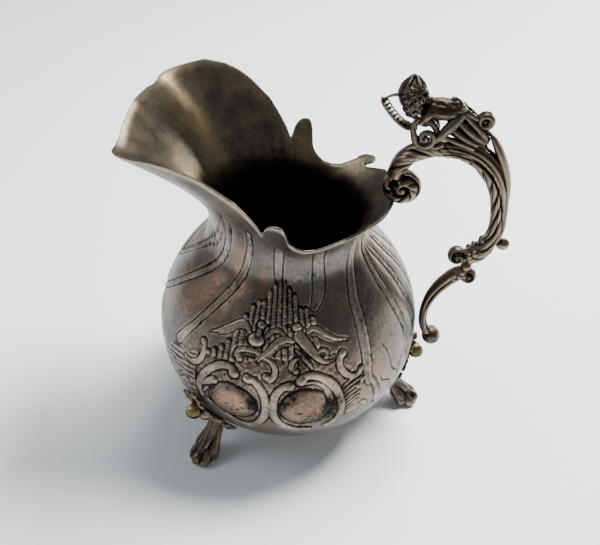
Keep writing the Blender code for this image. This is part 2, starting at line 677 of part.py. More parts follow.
clear_scene()
PARTS = new_collection("silver_cream_jug")
CUTTERS = new_collection("cutters")
body_half("body_near_half", -1)
body_half("body_far_half", 1)
base_plate()
feet()
handle_upper_scroll()
handle_back_leaf()
handle_bud()
handle_lower_scroll()
putto_body()
putto_head()
figure_scrolls()
figure_crest()
figure_drape()
heel_scroll()
heel_bead()
centre_on_origin()
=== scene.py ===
import math

import bmesh
import bpy
import numpy as np
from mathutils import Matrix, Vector


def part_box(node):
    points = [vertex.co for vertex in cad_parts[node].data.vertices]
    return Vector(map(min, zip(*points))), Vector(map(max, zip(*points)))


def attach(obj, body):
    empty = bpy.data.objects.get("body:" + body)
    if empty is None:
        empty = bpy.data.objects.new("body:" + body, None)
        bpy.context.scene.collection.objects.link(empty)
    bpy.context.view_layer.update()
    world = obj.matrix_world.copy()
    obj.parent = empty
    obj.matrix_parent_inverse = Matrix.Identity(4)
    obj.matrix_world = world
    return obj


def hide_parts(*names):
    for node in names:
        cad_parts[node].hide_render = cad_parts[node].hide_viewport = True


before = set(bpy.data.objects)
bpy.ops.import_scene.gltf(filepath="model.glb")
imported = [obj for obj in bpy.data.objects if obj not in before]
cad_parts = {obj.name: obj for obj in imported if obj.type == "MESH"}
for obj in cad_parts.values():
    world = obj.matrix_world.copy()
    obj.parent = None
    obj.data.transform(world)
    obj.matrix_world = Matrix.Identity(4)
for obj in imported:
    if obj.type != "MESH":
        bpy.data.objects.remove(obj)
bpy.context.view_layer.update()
mm = 0.001
bellyAxis = sum(corner.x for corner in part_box("base_plate")) / 2 / mm     # every length below is from it


# small helpers: lengths are in mm until a mesh is made
def splined(rows, steps):      # points on a smooth curve through the rows, with steps between each two
    rows = np.asarray(rows, float)
    padded = np.vstack([2 * rows[0] - rows[1], rows, 2 * rows[-1] - rows[-2]])
    t = np.linspace(0, 1, steps, endpoint=False)[:, None]
    fine = [0.5 * (2 * b + (c - a) * t + (2 * a - 5 * b + 4 * c - d) * t ** 2
                   + (3 * b - a - 3 * c + d) * t ** 3)
            for a, b, c, d in zip(padded, padded[1:], padded[2:], padded[3:])]
    return np.vstack(fine + [rows[-1:]])


def smoothRows(rows, count):   # evenly spread rows on a smooth curve, by its first two columns
    fine = splined(rows, 16)
    along = np.r_[0, np.cumsum(np.linalg.norm(np.diff(fine[:, :2], axis=0), axis=1))]
    marks = np.linspace(0, along[-1], count)
    return np.stack([np.interp(marks, along, fine[:, k]) for k in range(fine.shape[1])], -1)


def smoothStep(low, high, value):
    t = np.clip((value - low) / (high - low), 0, 1)
    return t * t * (3 - 2 * t)


def bell(value, width):        # 1 in the middle, falling off over the width
    return np.exp(-(value / width) ** 2)


def spot(x, wide, y, high):
    return np.exp(-(x / wide) ** 2 - (y / high) ** 2)


def cosSin(degrees):
    return math.cos(math.radians(degrees)), math.sin(math.radians(degrees))


def unit(vector):
    return vector / np.linalg.norm(vector)


def blurred(field, radius, axes=(0, 1)):   # three box blurs, radius in cells
    span = 2 * radius + 1
    for axis in axes:
        for _ in range(3):
            padded = np.pad(field, [(radius + 1, radius) if k == axis else (0, 0) for k in (0, 1)],
                            mode="edge")
            total = np.cumsum(padded, axis=axis)
            high = np.take(total, range(span, total.shape[axis]), axis=axis)
            low = np.take(total, range(0, total.shape[axis] - span), axis=axis)
            field = (high - low) / span
    return field


def addObject(name, data):
    thing = bpy.data.objects.new(name, data)
    bpy.context.scene.collection.objects.link(thing)
    return thing


def readVectors(mesh, key):
    values = np.empty(len(mesh.vertices) * 3)
    mesh.vertices.foreach_get(key, values)
    return values.reshape(-1, 3)


def writeField(mesh, key, values):
    mesh.attributes.new(key, "FLOAT", "POINT").data.foreach_set("value", np.asarray(values, np.float32))


def ageShape(mesh, depth, passes=16):      # marks what lies under or over the smoothed shape
    place, normal = readVectors(mesh, "co") / mm, readVectors(mesh, "normal")
    count = len(place)
    edges = np.empty(len(mesh.edges) * 2, int)
    mesh.edges.foreach_get("vertices", edges)
    first, second = np.r_[edges[::2], edges[1::2]], np.r_[edges[1::2], edges[::2]]
    valence = np.maximum(np.bincount(first, minlength=count), 1)[:, None]
    softened = place
    for _ in range(passes):
        total = np.stack([np.bincount(first, softened[second, k], count) for k in range(3)], -1)
        softened = softened * .5 + total / valence * .5
    sunk = ((softened - place) * normal).sum(1) / depth
    # patina in the recesses and wear on the high points; the body halves and beads also write painted shade
    # and painted highlights into these same attributes
    writeField(mesh, "patinaAndShade", smoothStep(.08, 1.0, sunk))
    writeField(mesh, "wearAndHighlight", smoothStep(.15, 1.2, -sunk))


def newPiece(name, points, faces, slot, replaced, materials, faceMaterials=None, fields=None, depth=.07):
    mesh = bpy.data.meshes.new(name)
    points = np.asarray(points) + (bellyAxis, 0, 0)
    mesh.from_pydata((points * mm).tolist(), [], [list(map(int, face)) for face in faces])
    for material in materials:
        mesh.materials.append(material)
    if faceMaterials is not None:
        mesh.polygons.foreach_set("material_index", np.asarray(faceMaterials, np.int32))
    for key, values in (fields or {}).items():
        writeField(mesh, key, values)
    mesh.shade_smooth()
    mesh.set_sharp_from_angle(angle=math.radians(65))
    piece = addObject(name, mesh)
    if fields is None:
        ageShape(mesh, depth)
    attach(piece, "root")
    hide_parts(*replaced)


def castPiece(name, shape, node, depth=.07):
    newPiece(name, *shape, "cast_silver", [node], [castSilver], depth=depth)


# camera, floor and light
view = {"lens": 43.82, "place": (21.82, -133.02, 158.98), "tip": 49.11, "turn": 8.07}
light = {
    "floorColour": (0.76, 0.815, 0.86), "floorSize": 3000,
    "lamps": {
        "key": {"place": (240, 150, 530), "size": 220, "power": 10.5, "colour": (1.0, 0.98, 0.95),
                "shines": False},                              # only its shadow on the floor shows
        "sheen": {"place": (75, 285, 545), "size": 260, "power": 2.8, "colour": (1.0, 0.98, 0.95)},
        "fill": {"place": (-380, -60, 380), "size": 260, "power": .8, "colour": (0.95, 0.97, 1.0)},
        "window": {"place": (268, 413, 82), "size": 80, "power": 1.0, "colour": (1.0, 0.97, 0.92)},
    },
    # the room: direction's height, brightness and tint
    "room": [(0.0, .48, (.92, .96, 1.0)), (.30, .37, (.90, .95, 1.0)), (.55, .25, (.92, .95, 1.0)),
             (1.0, .25, (1.0, .98, .95))],
}


def makeCamera():
    data = bpy.data.cameras.new("camera")
    data.lens = view["lens"]
    data.sensor_width = 36
    data.clip_start = 0.005
    camera = addObject("camera", data)
    camera.location = (Vector(view["place"]) + Vector((bellyAxis, 0, 0))) * mm
    camera.rotation_euler = (math.radians(view["tip"]), 0, math.radians(view["turn"]))
    bpy.context.scene.camera = camera


def areaLight(name, place, size, power, colour, shines=True):
    data = bpy.data.lights.new(name, "AREA")
    data.shape = "DISK"
    data.size = size * mm
    data.energy = power
    data.color = colour
    lamp = addObject(name, data)
    lamp.visible_glossy = shines
    lamp.location = Vector(place) * mm
    lamp.rotation_euler = (Vector((0, 0, 40)) - Vector(place)).to_track_quat("-Z", "Y").to_euler()


def makeStage():
    half = light["floorSize"] * mm / 2
    mesh = bpy.data.meshes.new("floor")
    mesh.from_pydata([(-half, -half, 0), (half, -half, 0), (half, half, 0), (-half, half, 0)], [],
                     [(0, 1, 2, 3)])
    floor = addObject("floor", mesh)
    paint = bpy.data.materials.new("paleFloor")
    paint.use_nodes = True
    shader = paint.node_tree.nodes["Principled BSDF"]
    shader.inputs["Base Color"].default_value = (*light["floorColour"], 1)
    shader.inputs["Roughness"].default_value = 0.6
    mesh.materials.append(paint)
    for name, lamp in light["lamps"].items():
        areaLight(name, **lamp)
    world = bpy.data.worlds.new("softRoom")
    world.use_nodes = True
    nodes, link = world.node_tree.nodes, world.node_tree.links.new
    toward = nodes.new("ShaderNodeTexCoord")
    height = nodes.new("ShaderNodeSeparateXYZ")
    shade = nodes.new("ShaderNodeValToRGB")
    link(toward.outputs["Generated"], height.inputs[0])
    link(height.outputs["Z"], shade.inputs["Fac"])
    link(shade.outputs["Color"], nodes["Background"].inputs["Color"])
    while len(shade.color_ramp.elements) < len(light["room"]):
        shade.color_ramp.elements.new(0.5)
    for stop, (place, strength, tint) in zip(shade.color_ramp.elements, light["room"]):
        stop.position = place
        stop.color = (*(strength * part for part in tint), 1)
    bpy.context.scene.world = world


makeCamera()
makeStage()
print("camera, floor and light are set")


# finishes
def addNode(tree, kind, place, **values):
    node = tree.nodes.new(kind)
    node.location = place
    for key, value in values.items():
        if hasattr(node, key):
            setattr(node, key, value)
        else:
            node.inputs[key.replace("_", " ")].default_value = value
    return node


def addSockets(tree, way, kind, *names):
    for name in names:
        tree.interface.new_socket(name=name, in_out=way, socket_type="NodeSocket" + kind)


def makeTarnishAndPaintedLightGroup():        # polish on the relief, tinted film between, black patina in the hollows; the same masks also paint shade and highlights on some pieces
    tree = bpy.data.node_groups.new("tarnishAndPaintedLight", "ShaderNodeTree")
    addSockets(tree, "INPUT", "Color", "Film", "Bright", "Deep", "Warm", "Cool")
    addSockets(tree, "INPUT", "Float", "Blotch Scale", "Speck Scale", "Tint", "Grime")
    addSockets(tree, "OUTPUT", "Color", "Colour")
    addSockets(tree, "OUTPUT", "Float", "Roughness", "Height")
    link = tree.links.new
    given = addNode(tree, "NodeGroupInput", (-1300, 0))
    out = addNode(tree, "NodeGroupOutput", (1100, 0))
    where = addNode(tree, "ShaderNodeTexCoord", (-1300, -300))

    def worked(operation, first, second, third=None):          # one math step
        node = addNode(tree, "ShaderNodeMath", (-200, 0), operation=operation)
        for socket, value in zip(node.inputs, (first, second, third)):
            if isinstance(value, (int, float)):
                socket.default_value = value
            elif value is not None:
                link(value, socket)
        return node.outputs[0]

    def mixed(factor, first, second):
        node = addNode(tree, "ShaderNodeMix", (400, 100), data_type="RGBA")
        link(factor, node.inputs["Factor"])
        link(first, node.inputs[6])
        link(second, node.inputs[7])
        return node.outputs[2]

    def spots(scale, detail, roughness, low, high, offset=0.0):    # noise made a mask from 0 to 1
        moved = addNode(tree, "ShaderNodeMapping", (-1000, -300))
        moved.inputs["Location"].default_value = (offset, offset, offset)
        noise = addNode(tree, "ShaderNodeTexNoise", (-800, -300), Detail=detail, Roughness=roughness)
        link(where.outputs["Object"], moved.inputs["Vector"])
        link(moved.outputs["Vector"], noise.inputs["Vector"])
        link(scale, noise.inputs["Scale"])
        mask = addNode(tree, "ShaderNodeMapRange", (-600, -300), From_Min=low, From_Max=high)
        link(noise.outputs["Fac"], mask.inputs["Value"])
        return mask.outputs[0]

    def shapeMask(name):
        return addNode(tree, "ShaderNodeAttribute", (-1000, 400), attribute_name=name).outputs["Fac"]

    film, bright, deep, warmTint, coolTint, blotch, speck, tintShare, grime = given.outputs[:9]
    patinaAndShade, wearAndHighlight, gild = shapeMask("patinaAndShade"), shapeMask("wearAndHighlight"), shapeMask("gild")
    broad = worked("MULTIPLY", blotch, 0.4)
    patchy = spots(blotch, 6.0, .62, .36, .66)
    gritty = spots(speck, 8.0, .72, .45, .66)
    warmth = spots(broad, 5.0, .6, .48, .66, .3)
    coolness = spots(broad, 5.0, .6, .50, .68, .7)
    # lighter where worn, and where the mask carries a painted highlight
    polishAndHighlight = worked("ADD", worked("MULTIPLY", patchy, .22), worked("MULTIPLY", wearAndHighlight, .85))
    surface = mixed(worked("MINIMUM", polishAndHighlight, 1.0), film, bright)
    warm = worked("MULTIPLY", worked("ADD", worked("MULTIPLY", warmth, .55), gild), tintShare)
    surface = mixed(worked("MINIMUM", warm, 1.0), surface, warmTint)
    surface = mixed(worked("MULTIPLY", worked("MULTIPLY", coolness, .6), tintShare), surface, coolTint)
    # the dark has a ragged edge where the hollow starts
    edge = worked("MULTIPLY", worked("MULTIPLY", patinaAndShade, worked("SUBTRACT", 1.0, patinaAndShade)), 3.2)
    ragged = worked("MULTIPLY_ADD", edge, worked("SUBTRACT", patchy, .5), patinaAndShade)
    stains = spots(broad, 7.0, .66, .52, .72, 1.9)
    ragged = worked("MULTIPLY_ADD", stains, worked("MULTIPLY", grime, 1.1), ragged)
    # darker with grime and patina, and where the mask carries painted shade
    dirtAndShade = worked("MULTIPLY_ADD", gritty, grime, ragged)
    dirtAndShade = worked("MINIMUM", worked("MAXIMUM", dirtAndShade, 0.0), 1.0)
    link(mixed(dirtAndShade, surface, deep), out.inputs["Colour"])
    rough = worked("MULTIPLY_ADD", dirtAndShade, .24, .32)
    link(worked("MULTIPLY_ADD", patchy, .07, rough), out.inputs["Roughness"])
    link(worked("MULTIPLY_ADD", patchy, .5, worked("MULTIPLY", gritty, .35)), out.inputs["Height"])
    return tree


tarnishAndPaintedLight = makeTarnishAndPaintedLightGroup()


def silverMaterial(name, finish):
    material = bpy.data.materials.new(name)
    material.use_nodes = True
    tree = material.node_tree
    shader = tree.nodes["Principled BSDF"]
    shader.inputs["Metallic"].default_value = 1.0
    group = addNode(tree, "ShaderNodeGroup", (-600, 0), node_tree=tarnishAndPaintedLight)
    for socket, value in finish["metal"].items():
        group.inputs[socket].default_value = (*value, 1) if isinstance(value, tuple) else value
    bump = addNode(tree, "ShaderNodeBump", (-300, -300), Distance=finish["grain"] * mm, Strength=0.5)
    for start, key, end, socket in (
            (group, "Colour", shader, "Base Color"), (group, "Height", bump, "Height"),
            (group, "Roughness", shader, "Roughness"), (bump, "Normal", shader, "Normal")):
        tree.links.new(start.outputs[key], end.inputs[socket])
    return material


finishes = {
    "sheetSilver": {"grain": .05, "metal": {
        "Film": (.112, .093, .078), "Bright": (.43, .36, .29), "Deep": (.010, .008, .006),
        "Warm": (.38, .225, .135), "Cool": (.090, .108, .118), "Blotch Scale": 110.0, "Speck Scale": 1100.0,
        "Tint": .85, "Grime": .34}},
    "insideSilver": {"grain": .04, "metal": {
        "Film": (.086, .074, .060), "Bright": (.29, .24, .17), "Deep": (.013, .010, .007),
        "Warm": (.36, .27, .14), "Cool": (.090, .092, .088), "Blotch Scale": 330.0, "Speck Scale": 1100.0,
        "Tint": .8, "Grime": .3}},
    "castSilver": {"grain": .04, "metal": {
        "Film": (.036, .028, .022), "Bright": (.26, .20, .145), "Deep": (.004, .003, .002),
        "Warm": (.13, .078, .045), "Cool": (.055, .058, .056), "Blotch Scale": 200.0, "Speck Scale": 1500.0,
        "Tint": .6, "Grime": .36}},
    "brassWithPaintedLight": {"grain": .03, "metal": {
        "Film": (.100, .076, .038), "Bright": (.46, .34, .165), "Deep": (.012, .009, .006),
        "Warm": (.26, .18, .08), "Cool": (.13, .12, .09), "Blotch Scale": 260.0, "Speck Scale": 1500.0,
        "Tint": .5, "Grime": .3}},
}
sheetSilver, insideSilver, castSilver, brassWithPaintedLight = (silverMaterial(*pair) for pair in finishes.items())
print("finishes are made")


# body: two stamped halves, chased with ribs, cartouches, birds and shellwork
bodyForm = {
    "profile": [(12, 6.6), (18.5, 7.3), (25, 11.2), (30.2, 19), (32, 28), (30.9, 37), (27.3, 45), (22.6, 51),
                (19.2, 55), (18.2, 58)],                       # radius, height
    "baseStart": 1.6,                                          # arc length just inside the base plate's edge
    "flareSpan": 14.0,                                         # flare's length in the flat pattern
    "stiffness": 0.38,
    # azimuth from the handle, radius, height and lean of the sheet's full reach
    "flare": [(0, 24.8, 68, 45), (25, 24.1, 67.8, 50), (38, 23.6, 68.2, 55), (50, 23.9, 69, 62),
              (63, 23.1, 70, 72), (81, 22.6, 72.5, 74), (90, 21.9, 73, 74), (100, 21.6, 75.5, 72),
              (108.7, 22.9, 77.6, 68), (119.4, 26.1, 82.4, 62), (126, 28.7, 84.4, 58),
              (134.5, 32.2, 85.7, 50), (143, 35.3, 85.2, 44), (150, 36.7, 84.2, 40), (153, 36.5, 84.0, 39),
              (156, 35.8, 83.9, 38), (165, 33.5, 84.6, 40), (180, 32.4, 86, 42)],
    # cut edge: azimuth from the handle, height
    "rim": [(180, 85.9), (170, 85.3), (160, 83.8), (156, 83.4), (150, 83.9), (143, 84.6), (134.5, 85.5),
            (125.6, 84.4), (119.4, 82.4), (114.5, 80.6), (108.7, 77.8), (103.7, 74.5), (99, 71.0),
            (97.2, 69.4), (96.2, 68.2), (95.6, 68.4), (94.7, 69.7), (93.2, 71.2), (91.0, 72.1), (88.4, 72.6),
            (86.0, 72.6), (84.0, 72.2), (82.6, 71.3), (81.7, 69.8), (81.0, 67.7), (79.6, 66.1), (76.2, 64.8),
            (70.8, 63.7), (63.3, 63.5), (56.9, 64.0), (51.6, 65.1), (46.1, 66.6), (42.6, 67.5), (41.2, 67.0),
            (40.2, 66.0), (37.8, 65.6), (34, 66.1), (30, 66.6), (24.8, 67.4), (12, 67.5), (0, 67.3)],
    # small tongue left by the cut: middle line over azimuth, half height
    "tongue": [(47.5, 65.3, 1.2), (44.5, 65.8, 1.45), (42.5, 66.2, 1.4), (40.5, 66.5, 1.3), (38.6, 67.0, 1.0),
               (36.9, 67.2, .75), (35.6, 67.2, .4)],
    "tongueAcross": 9,                                         # points across each face of the tongue
    "seam": 0.02,                                              # from the middle plane to each half
    "wall": 0.75,
    "flatRadius": 32,                                          # of the round that the flat pattern unrolls
    "flatHeight": 82,                                          # the flat pattern's reach up the body
    # worn gilding inside the lip: azimuth, depth under the rim, spread in degrees and mm, strength
    "gilding": {"chased_near_half": [(166, 12, 13, 5, 1.1), (150, 16, 10, 5, .7), (120, 8, 12, 4, .3)],
                "chased_far_half": [(158, 6, 9, 4, .8), (172, 12, 8, 5, .8), (60, 3, 22, 2.5, .5),
                                    (90, 5, 10, 3, .5)]},
    # painted shade inside the bowl: azimuth, depth under the rim where it starts and where it is full
    "shade": {"chased_near_half": [(0, 11, 20), (60, 8, 17), (110, 7, 14), (135, 13, 19), (180, 17, 24)],
              "chased_far_half": [(0, 11, 20), (35, 9, 18), (50, 6, 12), (80, 7, 11), (100, 8, 14),
                                  (130, 13, 19), (180, 17, 24)], "streak": 2.6, "fleck": .85},
}
profileFine = smoothRows(bodyForm["profile"], 600)
profileArc = np.r_[0, np.cumsum(np.linalg.norm(np.diff(profileFine, axis=0), axis=1))]
neckArc = profileArc[-1]
flareFine = np.arange(0, 180.5, 0.5)
flareRows = smoothRows(bodyForm["flare"], 900)
flareTable = np.stack([np.interp(flareFine, flareRows[:, 0], flareRows[:, k]) for k in (1, 2, 3)], -1)
flareRound = np.vstack([flareTable[:0:-1], flareTable, flareTable[-2::-1]])
halfTurn = len(flareFine) - 1
flareTable, flareSoft = (blurred(flareRound, radius, (0,))[halfTurn:2 * halfTurn + 1] for radius in (4, 32))


def bodyRadiusHeight(azimuth, arc):            # azimuth in degrees, 0 at the handle
    radius = np.interp(arc, profileArc, profileFine[:, 0])
    height = np.interp(arc, profileArc, profileFine[:, 1])
    t = np.clip((arc - neckArc) / bodyForm["flareSpan"], 0, 1)
    reach, top = (np.interp(azimuth, flareFine, flareTable[:, k]) for k in (0, 1))
    softReach, softTop, lean = (np.interp(azimuth, flareFine, flareSoft[:, k]) for k in (0, 1, 2))
    neck = profileFine[-1]
    start = unit(neck - profileFine[-12])
    pull = bodyForm["stiffness"] * np.hypot(softReach - neck[0], softTop - neck[1])
    lean = np.radians(lean)
    weights = ((1 - t) ** 3, 3 * (1 - t) ** 2 * t, 3 * (1 - t) * t * t, t ** 3)
    flareRadius = (weights[0] * neck[0] + weights[1] * (neck[0] + start[0] * pull)
                   + weights[2] * (softReach - np.cos(lean) * pull) + weights[3] * reach)
    flareHeight = (weights[0] * neck[1] + weights[1] * (neck[1] + start[1] * pull)
                   + weights[2] * (softTop - np.sin(lean) * pull) + weights[3] * top)
    above = arc > neckArc
    return np.where(above, flareRadius, radius), np.where(above, flareHeight, height)


def bodyPoint(azimuth, arc):
    radius, height = bodyRadiusHeight(azimuth, arc)
    angle = np.radians(azimuth)
    return np.stack([radius * np.cos(angle), radius * np.sin(angle), height], -1)


def bodyNormal(azimuth, arc):
    around = bodyPoint(azimuth + 0.4, arc) - bodyPoint(azimuth - 0.4, arc)
    upward = bodyPoint(azimuth, arc + 0.2) - bodyPoint(azimuth, arc - 0.2)
    normal = np.cross(around, upward)
    return normal / np.linalg.norm(normal, axis=-1, keepdims=True)


def rimArc(azimuth, height):                   # arc length at which the flare reaches a height
    arcs = np.linspace(neckArc, neckArc + bodyForm["flareSpan"], 200)
    heights = bodyRadiusHeight(np.full(200, azimuth), arcs)[1]
    return np.interp(height, heights, arcs)


